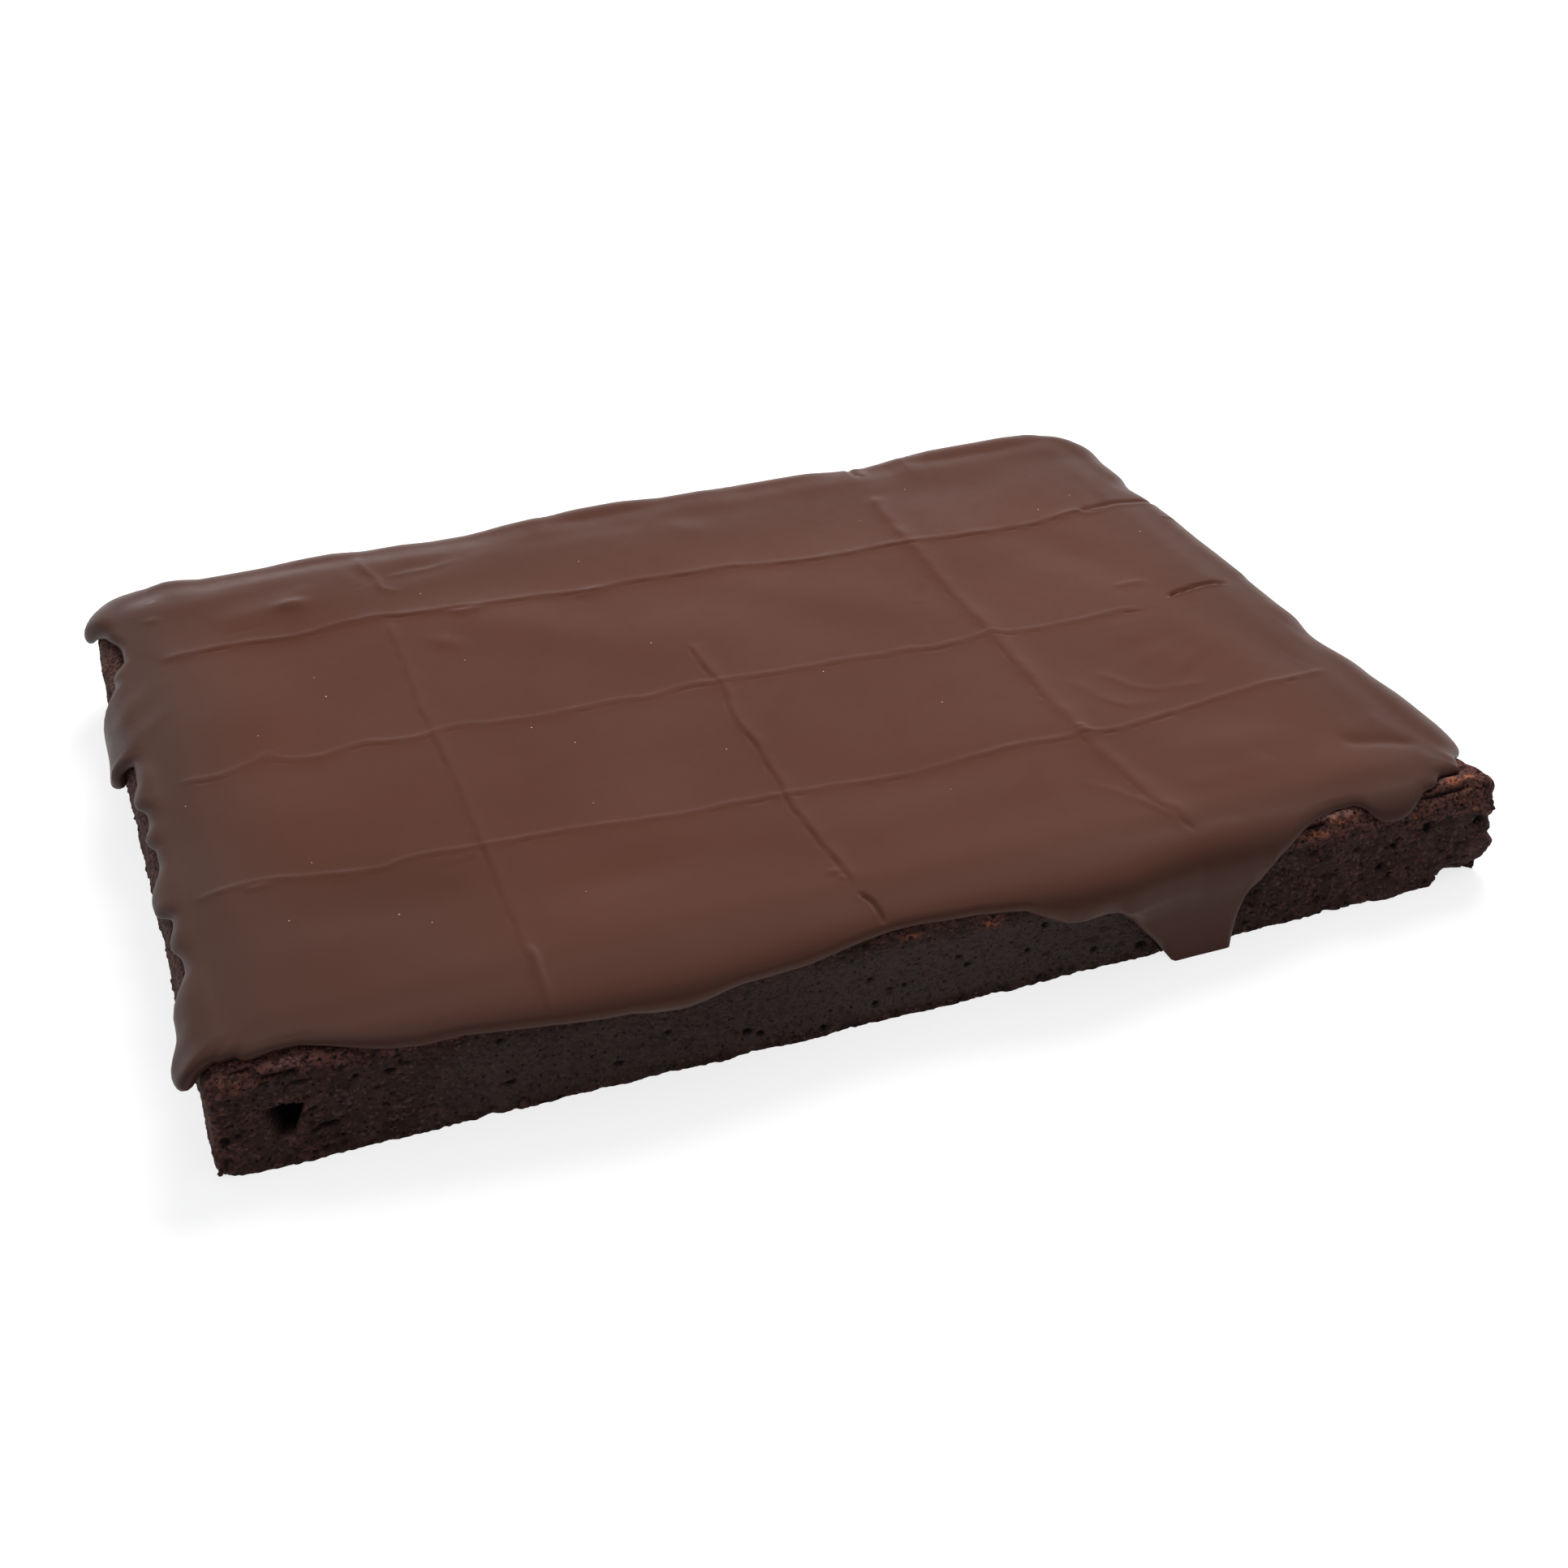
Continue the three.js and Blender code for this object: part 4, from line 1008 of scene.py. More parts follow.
class CrumbRelief:
    # how far each point of the cake's skin stands out, and how crusted, smooth and pale it is, and how
    # much shade is painted into its pits, hollows and the gaps between its grains

    def __init__(self, stations, runs, base):
        self.stations, self.runs, self.base = stations, runs, base
        self.run = np.broadcast_to(runs[:, None], base.shape[:2])
        self.height = base[..., 2]
        self.front = (stations.side == "front")[None, :] & (self.height > -1)
        self.notLeft = (stations.side != "left")[None, :]
        x, self.z = seenInFront(base)
        self.x = np.where(self.front, x, nowhere)
        self.onFront = self.x < somewhere
        rightEnd = beyond(self.x, *crustEnds["right"]) * self.onFront
        self.ends = rightEnd + beyond(-self.x, *crustEnds["left"])
        self.grains()
        self.pitsAndBumps()
        self.seenInPhoto()
        self.wornEdges()
        self.colours()
        most = mixed(crumb["crown"], crumb["free"], smooth(self.run / arcLength))
        belowLip = self.run - glazeDrop(stations)[None, :]
        self.out = np.minimum(self.out, most) * beyond(belowLip, crumb["lipFrom"], crumb["lipOver"])

    def noise(self, name):
        return latticeNoise(self.base, *crumbNoise[name])

    def grains(self):
        x, z, height = self.x, self.z, self.height
        seen = beyond(x, *fudgy["left"]) * beyond(-x, *fudgy["right"])
        seen = seen * beyond(-z, *fudgy["top"]) * beyond(z, *fudgy["bottom"])
        strength, level = fudgy["drift"]
        hidden = smooth(self.noise("drift") * strength + level) * beyond(-height, *fudgy["hiddenTop"])
        self.smoothness = np.where(self.front, seen, hidden * fudgy["hiddenShare"]) * self.notLeft
        rough = mixed(1.0, crumb["smoothShare"], self.smoothness)
        out = crumb["lump"] * self.noise("lump") * mixed(1, crumb["smoothLump"], self.smoothness)
        out = out + crumb["layer"] * self.noise("layer") * rough * (1 + self.ends)
        granules = cellShade(self.base, *crumbNoise["granule"])
        fine = crumb["fine"] * (crumb["even"] - cellShade(self.base, *crumbNoise["fine"]))
        out = out + crumb["granule"] * (crumb["even"] - granules) * rough
        self.out = out + fine * mixed(1, crumb["smoothFine"], self.smoothness)
        # painted shade in the gaps between the grains
        self.pitShade = beyond(granules, *crumb["hollowFrom"]) * rough * crumb["hollowShare"]

    def pitsAndBumps(self):
        random = np.random.default_rng(scatter["seed"])
        order = np.argsort(self.stations.round)
        rounds = self.stations.round[order]
        lowPower, highPower = scatter["powers"]
        for number in range(scatter["pits"] + scatter["bumps"]):
            isPit = number < scatter["pits"]
            place = random.uniform(0, wholeRound)
            share = random.uniform(0, 1)
            if not isPit:
                share = share ** (lowPower if random.uniform() < scatter["lowShare"] else highPower)
            low = scatter["height"] * share
            size = random.uniform(*scatter["size"])
            size *= 1 if random.uniform() < scatter["usual"] else scatter["large"]
            stretch = random.uniform(*scatter["stretch"])
            depth = random.uniform(*scatter["depth"]) * size
            reach = scatter["reach"] * size
            first, last = np.searchsorted(rounds, (place - reach * stretch, place + reach * stretch))
            columns = order[first:last]
            rows = np.flatnonzero(np.abs(floorRun - low - self.runs) < reach)
            if len(columns) == 0 or len(rows) == 0:
                continue
            picked = np.ix_(rows, columns)
            across = (self.stations.round[columns][None, :] - place) / (size * stretch)
            down = (floorRun - low - self.runs[rows][:, None]) / size
            shape = np.exp(-(across ** 2 + down ** 2) ** scatter["roundness"])
            calm = mixed(1, scatter["calm"], self.smoothness[picked])
            if isPit:
                self.out[picked] -= depth * shape * calm
                # painted shade in the pit
                self.pitShade[picked] = np.maximum(self.pitShade[picked], shape * calm)
            else:
                self.out[picked] += depth * scatter["bumpShare"] * shape * calm

    def seenInPhoto(self):
        x, z = self.x, self.z
        for pit in frontPits:
            shape = blob(x, z, pit)
            self.out -= pit[4] * shape
            # painted shade in the front's pits
            self.pitShade = np.maximum(self.pitShade, beyond(shape, *crumb["pitDark"]))
        least, more = crumb["lumpy"]
        grainy = least + more * self.noise("lumpy")
        for lump in frontLumps:
            self.out += lump[4] * blob(x, z, lump) * grainy
        deep = insideOf(holeOutline, x, z)
        self.out -= hole["deep"] * smooth(deep / hole["rim"]) * (deep > 0)
        # painted shade inside the hole
        self.pitShade = np.maximum(self.pitShade, smooth(deep / hole["darkRim"]))
        slope = np.clip((z - hollow["bottom"]) / (hollow["top"] - hollow["bottom"]), 0, 1)
        leftFade, rightFade = hollow["fades"]
        within = smooth((x - hollow["left"]) / leftFade) * smooth((hollow["right"] - x) / rightFade)
        within = within * (z < hollow["top"])
        self.out -= hollow["deep"] * slope ** hollow["curve"] * within
        self.smoothness = np.maximum(self.smoothness, within * (slope > 0) * hollow["smooth"])
        # painted shadow under the hollow's overhanging top
        self.pitShade = np.maximum(self.pitShade, within * beyond(slope, *hollow["dark"]))

    def wornEdges(self):
        x, height = self.x, self.height
        corner = roundSlab("front", sideSpan("front", "frontRight"))
        fromCorner = np.abs(self.stations.round - corner)[None, :]
        worn = np.interp(height, rightCorner["height"], rightCorner["worn"])
        ragged = 1 + rightCorner["ragged"] * self.noise("worn")
        self.out -= worn * ragged * np.exp(-(fromCorner / rightCorner["reach"]) ** 2)
        missing = np.interp(x, chip["x"], chip["top"]) - height
        self.out -= np.where(self.onFront, np.maximum(missing, 0) / chip["slope"], 0)
        foot = crumb["ragged"] * np.exp(-height / crumb["raggedHeight"])
        self.out += foot * (self.noise("foot") + self.noise("footFine"))
        seen = beyond(x, *crumb["spreadLeft"]) * beyond(-x, *crumb["spreadRight"])
        spread = np.where(self.front, seen, self.notLeft * crumb["spreadShare"])
        self.out += crumb["spread"] * spread * np.exp(-height / crumb["spreadHeight"])
        bare = smooth((floorRun - self.run) / crumb["waistFade"])
        share = np.clip(height / crumb["waistTop"], 0, 1)
        self.out -= crumb["waist"] * bare * np.sin(share * math.pi)

    def colours(self):
        # crust along the top edge and at the ends, and grains of it below
        x, z, ends = self.x, self.z, self.ends
        spots, tiny = self.noise("spots"), self.noise("tiny")
        upper = smooth((self.height - crust["from"] + crust["spots"] * spots) / crust["over"])
        grains = smooth(tiny + crust["grainFrom"] + crust["grainSpots"] * spots)
        crusted = upper * crust["upper"] + (ends * crust["endGrains"] + crust["grains"]) * grains
        crusted = np.clip(crusted, 0, 1)
        edge = np.clip(ends + beyond(z, *crust["frontFrom"]), 0, 1)
        share = crust["middle"] + (1 - crust["middle"]) * edge
        crusted = np.where(self.front, crusted * share, crusted * crust["hidden"])
        leftEdge = crust["leftEdgeShare"] * beyond(-x, *crust["leftEdge"]) * self.onFront
        crusted = np.maximum(crusted, leftEdge)
        least, more = crust["leftSide"]
        crusted = np.where(self.notLeft, crusted, np.maximum(crusted, least + more * tiny))
        least, more = crust["orangeGrain"]
        for spot in orangeSpots:
            crusted = np.maximum(crusted, crust["orange"] * blob(x, z, spot) * (least + more * tiny))
        pale = sum(share * blob(x, z, spot) for share, spot in paleSpots)
        pale = pale + np.where(self.notLeft, 0, crust["paleLeft"] * upper)
        least, more = crust["paleGrain"]
        pale = pale * (least + more * self.noise("pale")) * (1 - crust["palePits"] * self.pitShade)
        # painted shade: the left of the front gets less of the lighter fudgy grey
        tone = mixed(fudgy["leftTone"], 1, beyond(x, *fudgy["tone"]))
        tone = np.where(self.front, tone, fudgy["hiddenTone"])
        # red: crust, green: fudgy smoothness, blue: painted shade in pits and hollows, alpha: pale
        self.kinds = np.stack([crusted, self.smoothness * tone, np.clip(self.pitShade, 0, 1),
                               np.clip(pale, 0, 1)], axis=-1)


def makeBrownie(material):
    stations = Stations(placesRound(crumbGrid))
    count = len(stations.round)
    arcCount = round(arcLength / crumbGrid["arc"])
    sideCount = round((cakeHeight - edgeRadius) / crumbGrid["row"])
    runs = np.concatenate([crumbGrid["topRuns"], np.linspace(0, arcLength, arcCount + 1),
                           np.linspace(arcLength, floorRun, sideCount + 1)[1:]])
    base = np.array([stations.skin(run, np.zeros(count)) for run in runs])
    relief = CrumbRelief(stations, runs, base)
    rings = [stations.skin(run, out) for run, out in zip(runs, relief.out)]
    lift = crumb["lift"] * np.maximum(latticeNoise(base[-1], *crumbNoise["lift"]), 0)
    for ring in rings:
        ring[:, 2] = ring[:, 2] + lift * np.exp(-ring[:, 2])
    rings.append(stations.skin(floorRun, relief.out[-1] - crumb["below"]))
    points = np.vstack(rings + [[[0, 0, cakeHeight]], [[0, 0, 0]]])
    faces = []
    for k in range(1, len(rings)):
        faces += ringFaces(k * count, (k - 1) * count, count)
    end = len(rings) * count
    faces += fanFaces(0, end, count, True)
    faces += fanFaces(end - count, end + 1, count, False)
    piece = meshPiece("brownieCake", points, faces, material)
    mask = piece.data.color_attributes.new("crumbKinds", "FLOAT_COLOR", "POINT")
    values = np.zeros((len(points), 4))
    values[:end - count] = relief.kinds.reshape(-1, 4)
    mask.data.foreach_set("color", values.ravel())
    return piece, stations, runs, np.array(rings[:-1])


def splitFaces(corners, faces):
    # each triangle of a ball becomes four
    middles, split, grown = {}, [], list(corners)
    for face in faces:
        ids = []
        for a, b in zip(face, face[1:] + face[:1]):
            pair = (min(a, b), max(a, b))
            if pair not in middles:
                middles[pair] = len(grown)
                spot = (grown[a] + grown[b]) / 2
                grown.append(spot / np.linalg.norm(spot))
            ids.append(middles[pair])
        a, b, c = face
        ab, bc, ca = ids
        split += [(a, ab, ca), (ab, b, bc), (ca, bc, c), (ab, bc, ca)]
    return np.array(grown), split


def ballShape():
    # a small ball's corners and faces: twenty triangles, split twice
    across = (1 + math.sqrt(5)) / 2
    corners = []
    for a, b in itertools.product((-1, 1), (-across, across)):
        corners += [(a, b, 0), (0, a, b), (b, 0, a)]
    corners = np.array(corners) / math.hypot(1, across)
    near = 2 / math.hypot(1, across) * 1.01
    faces = []
    for i, j, k in itertools.combinations(range(12), 3):
        if max(np.linalg.norm(corners[a] - corners[b]) for a, b in ((i, j), (j, k), (k, i))) < near:
            turned = np.dot(np.cross(corners[j] - corners[i], corners[k] - corners[i]), corners[i])
            faces.append((i, j, k) if turned > 0 else (i, k, j))
    return splitFaces(*splitFaces(corners, faces))


ballCorners, ballFaces = ballShape()


def ballPiece(name, balls, material):
    # one mesh of many small balls, each given by where its corners are
    faces = [[k * len(ballCorners) + i for i in face] for k in range(len(balls)) for face in ballFaces]
    return meshPiece(name, np.vstack(balls), faces, material)


# Bits of crumb that cling to the sides and lie at the foot; named: x, z and size on the front
bits = {
    "count": 300, "small": 0.15, "large": 0.42, "seed": 12, "squash": (0.65, 1.15),
    "lumps": 0.28, "lumpGrain": 1.9, "lumpPlaces": 50, "lumpSeed": 51, "fullTurn": 6.28,
    "lowest": 0.5, "height": 24, "fewerAbove": 1.9, "belowLip": 1,
    "named": [
        (-86, 0.4, 1), (111.5, 0.3, 0.9), (-149.2, 1, 0.8), (-38, 5, 0.6), (152.3, 20.8, 0.7),
        (2, 20.4, 0.5), (6.5, 19.3, 0.45), (21, 18.9, 0.5), (133, 3.6, 0.6), (129.5, 1.2, 0.6),
        (119, 0.8, 0.5), (144.4, 6, 0.6)],
}


def makeBits(material, stations, runs, rings):
    random = np.random.default_rng(bits["seed"])
    balls = []

    def add(place, size):
        turn = Matrix.Rotation(random.uniform(0, bits["fullTurn"]), 3, random.normal(size=3))
        spread = ballCorners * bits["lumpGrain"] + random.uniform(0, bits["lumpPlaces"], 3)
        lump = bits["lumps"] * latticeNoise(spread, (1, 1, 1), bits["lumpSeed"])
        lumpy = ballCorners * (1 + lump)[:, None] * random.uniform(*bits["squash"], 3) * size
        lumpy = lumpy @ np.array(turn).T + place
        lumpy[:, 2] = np.maximum(lumpy[:, 2], 0)
        balls.append(lumpy)

    lipRun = glazeDrop(stations)
    x, z = seenInFront(rings)
    isFront = (stations.side == "front")[None, :]
    for bx, bz, size in bits["named"]:
        gap = np.where(isFront, np.hypot(x - bx, z - bz), np.inf)
        add(rings[np.unravel_index(gap.argmin(), gap.shape)], size)
    while len(balls) < bits["count"]:
        column = random.integers(len(stations.round))
        low = bits["lowest"] + bits["height"] * random.uniform() ** bits["fewerAbove"]
        row = int(np.abs(rings[:, column, 2] - low).argmin())
        if runs[row] < lipRun[column] + bits["belowLip"]:
            continue
        add(rings[row, column], random.uniform(bits["small"], bits["large"]))
    return ballPiece("crumbBits", balls, material)


# Pale pinpricks in the top, painted highlights where tiny bubbles catch the light: x and y
specks = {
    "size": 0.15, "height": 0.05, "least": 0.8, "more": 0.5, "change": 2.4,
    # colour: the painted highlight's pale colour
    "colour": (0.55, 0.40, 0.30), "roughness": 0.6,
    "places": [
        (-100.7, 35.8), (-63.2, 31.2), (-99.6, 26), (-66, 68.6), (-118.4, 13.4), (-138.9, -10.3),
        (-55.8, -5.5), (-47.7, -15.2), (-116, -42.4), (-51, -41.6), (-124.4, -61.2), (-101.8, -66.2),
        (-95.9, -71.6), (-62.2, -73.1), (-21.4, 71.3), (-16.2, 23.1), (42.5, -29), (28.8, -64.2),
        (-14.7, -30.7), (20, -6), (80.6, 82), (60.7, 67.8), (124.2, 62.3), (111.5, 57), (132.5, 35)],
}


def makeSpecks(material):
    balls = []
    for k, (x, y) in enumerate(specks["places"]):
        relief = topRelief(np.array([float(x)]), np.array([float(y)]))[0]
        share = specks["least"] + specks["more"] * math.sin(k * specks["change"]) ** 2
        flat = ballCorners * specks["size"] * share
        flat[:, 2] *= specks["height"] / specks["size"]
        balls.append(flat + np.array([x, y, cakeHeight + coat["thick"] + relief]))
    return ballPiece("bubbleHighlights", balls, material)


class Nodes:
    # short ways to build a tree of nodes; what goes into an input is a value or another's output

    def __init__(self, tree):
        self.tree = tree

    def fill(self, node, feeds):
        for key, value in feeds.items():
            socket = node.inputs[key]
            if isinstance(value, bpy.types.NodeSocket):
                self.tree.links.new(value, socket)
            else:
                socket.default_value = (*value, 1) if socket.type == "RGBA" else value

    def add(self, kind, feeds=None, **settings):
        node = self.tree.nodes.new(kind)
        for key, value in settings.items():
            setattr(node, key, value)
        self.fill(node, feeds or {})
        return node.outputs

    def calc(self, operation, first, second, clamped=False):
        return self.add("ShaderNodeMath", {0: first, 1: second}, operation=operation, use_clamp=clamped)[0]

    def ramp(self, value, low, high, bottom=0.0, top=1.0):
        feeds = {"Value": value, "From Min": low, "From Max": high, "To Min": bottom, "To Max": top}
        return self.add("ShaderNodeMapRange", feeds)[0]

    def tint(self, low, high, share):
        # a mix of two colours by a mask; the first can be an earlier mix
        return self.add("ShaderNodeMix", {0: share, 6: low, 7: high}, data_type="RGBA")[2]

    def use(self, group, **feeds):
        return self.add("ShaderNodeGroup", feeds, node_tree=group)

    def bump(self, height, strength, distance):
        return self.add("ShaderNodeBump", {"Height": height, "Strength": strength, "Distance": distance})[0]


def startGroup(name, inputs, outputs):
    group = bpy.data.node_groups.new(name, "ShaderNodeTree")
    for label, value in inputs.items():
        socket = group.interface.new_socket(name=label, in_out="INPUT", socket_type="NodeSocketFloat")
        socket.default_value = value
    for label in outputs:
        group.interface.new_socket(name=label, in_out="OUTPUT", socket_type="NodeSocketFloat")
    nodes = Nodes(group)
    return group, nodes, nodes.add("NodeGroupInput")


# The two shared effects; where a material has its own scale, that one counts.
mottling = {"scale": 40.0, "detail": 4.0, "faster": 9}
graining = {
    "scale": 900.0, "bendScale": 0.9, "bendDetail": 3.0, "bend": (1.3, 1.3, 1.3),
    "poreScale": 0.34, "pores": (0.12, 0.24, 1.0, 0.0),
}


def makeMottle():
    # slow and quick unevenness of a colour, around 0.5
    inputs = {"Scale": mottling["scale"], "Detail": mottling["detail"]}
    group, nodes, given = startGroup("mottling", inputs, ["Slow", "Quick"])
    place = nodes.add("ShaderNodeTexCoord")["Object"]
    feeds = {"Vector": place, "Detail": given["Detail"]}
    slow = nodes.add("ShaderNodeTexNoise", {**feeds, "Scale": given["Scale"]})[0]
    faster = nodes.calc("MULTIPLY", given["Scale"], mottling["faster"])
    quick = nodes.add("ShaderNodeTexNoise", {**feeds, "Scale": faster})[0]
    nodes.add("NodeGroupOutput", {"Slow": slow, "Quick": quick})
    return group


def makeGrain():
    # fine grains: their height, a shade of its own for each, and scattered pores
    group, nodes, given = startGroup("grain", {"Scale": graining["scale"]}, ["Height", "Shade", "Pores"])
    place = nodes.add("ShaderNodeTexCoord")["Object"]
    grown = nodes.add("ShaderNodeVectorMath", {0: place, "Scale": given["Scale"]}, operation="SCALE")[0]
    feeds = {"Vector": grown, "Scale": graining["bendScale"], "Detail": graining["bendDetail"]}
    noise = nodes.add("ShaderNodeTexNoise", feeds)
    bending = {0: noise["Color"], 1: graining["bend"], 2: grown}
    bent = nodes.add("ShaderNodeVectorMath", bending, operation="MULTIPLY_ADD")[0]
    cells = nodes.add("ShaderNodeTexVoronoi", {"Vector": bent, "Scale": 1.0})
    holes = nodes.add("ShaderNodeTexVoronoi", {"Vector": bent, "Scale": graining["poreScale"]})
    nodes.add("NodeGroupOutput", {
        "Height": nodes.calc("SUBTRACT", noise[0], cells["Distance"]),
        "Shade": nodes.add("ShaderNodeSeparateColor", {0: cells["Color"]})["Red"],
        "Pores": nodes.ramp(holes["Distance"], *graining["pores"]),
    })
    return group


mottleGroup, grainGroup = makeMottle(), makeGrain()

# In each paint below: colours, then ranges of a mask with what they are turned into, and for a
# bump its strength and its height in metres.


def startMaterial(name):
    material = bpy.data.materials.new(name)
    material.use_nodes = True
    return material, Nodes(material.node_tree), material.node_tree.nodes["Principled BSDF"]


def makeChocolate():
    paint = {
        "dark": (0.0640, 0.0200, 0.0112), "light": (0.0732, 0.0242, 0.0136),
        # grey: the painted sheen's colour towards the glaze's edges
        "grey": (0.0515, 0.0222, 0.0161), "shine": 0.17, "ior": 1.45, "mottleScale": 22,
        "mottle": (0.3, 0.7, 0.1, 0.9), "roughness": (0.3, 0.7, 0.38, 0.46),
        "grainScale": 1600, "bump": (0.10, 0.00008),
    }
    material, nodes, shader = startMaterial("setChocolate")
    mottle = nodes.use(mottleGroup, Scale=paint["mottleScale"])
    # painted sheen: how far each point is mixed towards the grey
    edge = nodes.add("ShaderNodeAttribute", attribute_name="paintedSheen")["Fac"]
    colour = nodes.tint(paint["dark"], paint["light"], nodes.ramp(mottle["Slow"], *paint["mottle"]))
    nodes.fill(shader, {
        "Base Color": nodes.tint(colour, paint["grey"], edge),
        "Roughness": nodes.ramp(mottle["Quick"], *paint["roughness"]),
        "Specular IOR Level": paint["shine"],
        "IOR": paint["ior"],
        "Normal": nodes.bump(nodes.use(grainGroup, Scale=paint["grainScale"])["Height"], *paint["bump"]),
    })
    return material


def makeCrumb():
    paint = {
        "crumb": (0.0305, 0.0155, 0.0127), "brown": (0.055, 0.029, 0.025),
        "grey": (0.0500, 0.0310, 0.0290), "red": (0.108, 0.042, 0.034),
        "orange": (0.270, 0.085, 0.040), "pale": (0.42, 0.21, 0.17),
        "dark": (0.0120, 0.0066, 0.0062), "spark": (0.125, 0.068, 0.057),
        # pit: the near black of the shade painted in pits, hollows and pores
        "pit": (0.004, 0.002, 0.002), "shine": 0.07, "mottleScale": 160, "grainScale": 1500,
        "mottle": (0.42, 0.72), "strong": (1.0, 2.0), "shades": (0.15, 0.85),
        "redGrain": (0.10, 1.30), "orangeGrain": (0.55, 1.5), "paleGrain": (0.75, 1.30),
        "darkGrain": (0.0, 0.5, 0.6, 0), "sparks": (0.84, 0.97, 0, 0.45),
        "sparksInFudge": (0, 1, 1, 0.12), "pores": (0, 1, 0, 0.9),
        "roughness": (0, 1, 0.72, 0.42), "bump": (0.7, 0.0004),
    }
    material, nodes, shader = startMaterial("brownieCrumb")
    kinds = nodes.add("ShaderNodeVertexColor", layer_name="crumbKinds")
    parts = nodes.add("ShaderNodeSeparateColor", {0: kinds["Color"]})
    crusted, fudge, pits = parts["Red"], parts["Green"], parts["Blue"]
    mottle = nodes.use(mottleGroup, Scale=paint["mottleScale"])
    grain = nodes.use(grainGroup, Scale=paint["grainScale"])
    shade = grain["Shade"]
    colour = nodes.tint(paint["crumb"], paint["brown"], nodes.ramp(mottle["Slow"], *paint["mottle"]))
    colour = nodes.tint(colour, paint["grey"], fudge)
    strong = nodes.ramp(crusted, *paint["strong"])
    for mask, ink in ((crusted, "red"), (strong, "orange"), (kinds["Alpha"], "pale")):
        grainy = nodes.ramp(shade, *paint["shades"], *paint[ink + "Grain"])
        colour = nodes.tint(colour, paint[ink], nodes.calc("MULTIPLY", mask, grainy, True))
    colour = nodes.tint(colour, paint["dark"], nodes.ramp(shade, *paint["darkGrain"]))
    sparks = nodes.ramp(shade, *paint["sparks"])
    sparks = nodes.calc("MULTIPLY", sparks, nodes.ramp(fudge, *paint["sparksInFudge"]))
    colour = nodes.tint(colour, paint["spark"], sparks)
    # painted shade in the tiny pores
    colour = nodes.tint(colour, paint["pit"], nodes.ramp(grain["Pores"], *paint["pores"]))
    nodes.fill(shader, {
        # painted shade in pits, hollows and the gaps between grains
        "Base Color": nodes.tint(colour, paint["pit"], pits),
        "Roughness": nodes.ramp(fudge, *paint["roughness"]),
        "Specular IOR Level": paint["shine"],
        "Normal": nodes.bump(grain["Height"], *paint["bump"]),
    })
    return material


def makeLooseCrumb():
    paint = {
        "dark": (0.030, 0.014, 0.011), "light": (0.085, 0.036, 0.027), "shine": 0.15, "roughness": 0.8,
        "mottleScale": 120, "mottle": (0.40, 0.70), "bump": (0.6, 0.0003),
    }
    material, nodes, shader = startMaterial("looseCrumb")
    mottle = nodes.use(mottleGroup, Scale=paint["mottleScale"])
    colour = nodes.tint(paint["dark"], paint["light"], nodes.ramp(mottle["Slow"], *paint["mottle"]))
    nodes.fill(shader, {
        "Base Color": colour,
        "Roughness": paint["roughness"],
        "Specular IOR Level": paint["shine"],
        "Normal": nodes.bump(nodes.use(grainGroup)["Height"], *paint["bump"]),
    })
    return material


def makeSpeck():
    material, nodes, shader = startMaterial("bubbleHighlight")
    nodes.fill(shader, {"Base Color": specks["colour"], "Roughness": specks["roughness"]})
    return material


glaze = makeGlaze(makeChocolate())
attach(glaze, "root")
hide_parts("glaze")
print("glaze made:", len(glaze.data.polygons), "faces")

speckPiece = makeSpecks(makeSpeck())
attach(speckPiece, "root")

cake, cakeStations, cakeRuns, cakeRings = makeBrownie(makeCrumb())
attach(cake, "root")
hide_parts("brownie")
print("brownie made:", len(cake.data.polygons), "faces")

bitPiece = makeBits(makeLooseCrumb(), cakeStations, cakeRuns, cakeRings)
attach(bitPiece, "root")
print("crumb bits made:", len(bitPiece.data.polygons), "faces")

# The floor is bright to the camera, and less so as a source of light for the slab's sides.
floorLook = {
    "half": 3, "grey": (0.30, 0.30, 0.30), "roughness": 0.85, "shine": 0.1,
    "glossShare": 0.5, "glow": (0.34, 0.76), "white": (1, 1, 1),
}


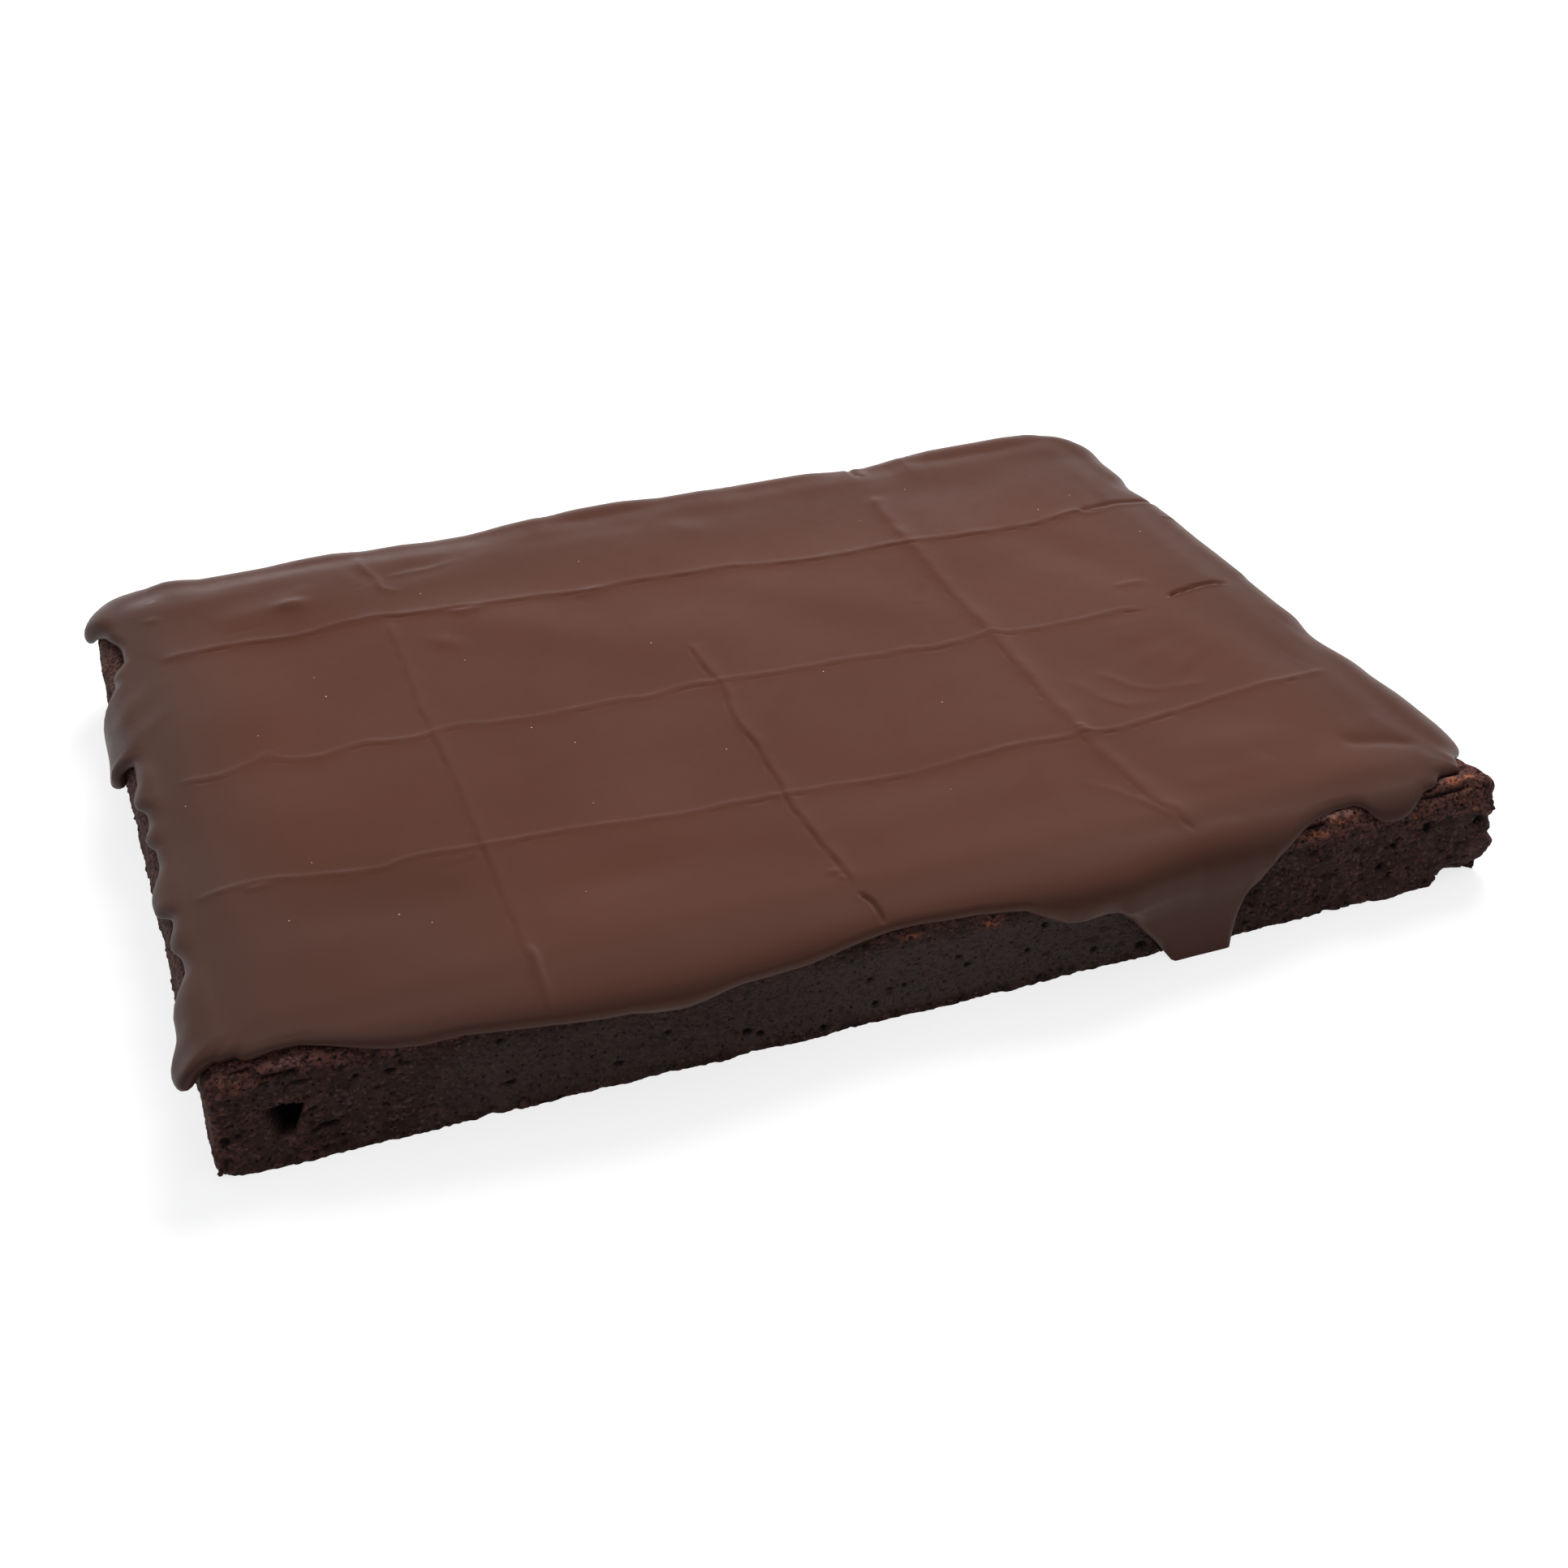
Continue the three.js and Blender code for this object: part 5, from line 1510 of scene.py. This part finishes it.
def makeFloor():
    half = floorLook["half"]
    mesh = bpy.data.meshes.new("floor")
    corners = [(-half, -half, 0), (half, -half, 0), (half, half, 0), (-half, half, 0)]
    mesh.from_pydata(corners, [], [(0, 1, 2, 3)])
    material, nodes, shader = startMaterial("paleFloor")
    rays = nodes.add("ShaderNodeLightPath")
    glossy = nodes.calc("MULTIPLY", rays["Is Glossy Ray"], floorLook["glossShare"])
    seen = nodes.calc("ADD", rays["Is Camera Ray"], glossy)
    nodes.fill(shader, {
        "Base Color": floorLook["grey"],
        "Roughness": floorLook["roughness"],
        "Specular IOR Level": floorLook["shine"],
        "Emission Color": floorLook["white"],
        "Emission Strength": nodes.ramp(seen, 0, 1, *floorLook["glow"]),
    })
    mesh.materials.append(material)
    floor = bpy.data.objects.new("floor", mesh)
    bpy.context.scene.collection.objects.link(floor)
    return floor


makeFloor()

# One broad soft light from behind on the right, and a sky with a pale wall low behind the slab
lighting = {
    "place": (0.50, 0.78, 1.0), "size": 0.95, "power": 28.5, "colour": (1.0, 0.985, 0.96),
    "horizon": 1.7, "haze": (0.10, 0.34), "wall": 0.85, "wallTop": 0.42, "wallEdge": 0.12,
    "above": 0.26, "overhead": 0.85, "highFrom": (0.6, 0.95), "front": 0.40,
    "behindFrom": (-0.25, 0.35), "skyColour": (0.96, 0.98, 1),
}


def lightScene():
    data = bpy.data.lights.new("windowLight", "AREA")
    data.shape = "DISK"
    data.size = lighting["size"]
    data.energy = lighting["power"]
    data.color = lighting["colour"]
    lamp = bpy.data.objects.new("windowLight", data)
    bpy.context.scene.collection.objects.link(lamp)
    lamp.location = lighting["place"]
    lamp.rotation_euler = (-Vector(lighting["place"])).to_track_quat("-Z", "Y").to_euler()
    lamp.visible_glossy = False     # the sheen comes from the sky alone

    world = bpy.data.worlds.new("studio")
    bpy.context.scene.world = world
    world.use_nodes = True
    nodes = Nodes(world.node_tree)
    way = nodes.add("ShaderNodeSeparateXYZ", {0: nodes.add("ShaderNodeTexCoord")["Generated"]})
    top, edge = lighting["wallTop"], lighting["wallEdge"]
    wall = nodes.ramp(way["Z"], top - edge, top + edge, lighting["wall"], lighting["above"])
    low = nodes.ramp(way["Z"], *lighting["haze"], lighting["horizon"] - lighting["wall"], 0)
    sky = nodes.calc("ADD", wall, low)
    behind = {0: nodes.ramp(way["Y"], *lighting["behindFrom"]), 2: lighting["front"], 3: sky}
    sky = nodes.add("ShaderNodeMix", behind, data_type="FLOAT")[0]
    high = {0: nodes.ramp(way["Z"], *lighting["highFrom"]), 2: sky, 3: lighting["overhead"]}
    sky = nodes.add("ShaderNodeMix", high, data_type="FLOAT")[0]
    background = world.node_tree.nodes["Background"]
    nodes.fill(background, {"Color": lighting["skyColour"], "Strength": sky})
    bpy.context.scene.view_settings.view_transform = "Standard"


lightScene()
print("light set")
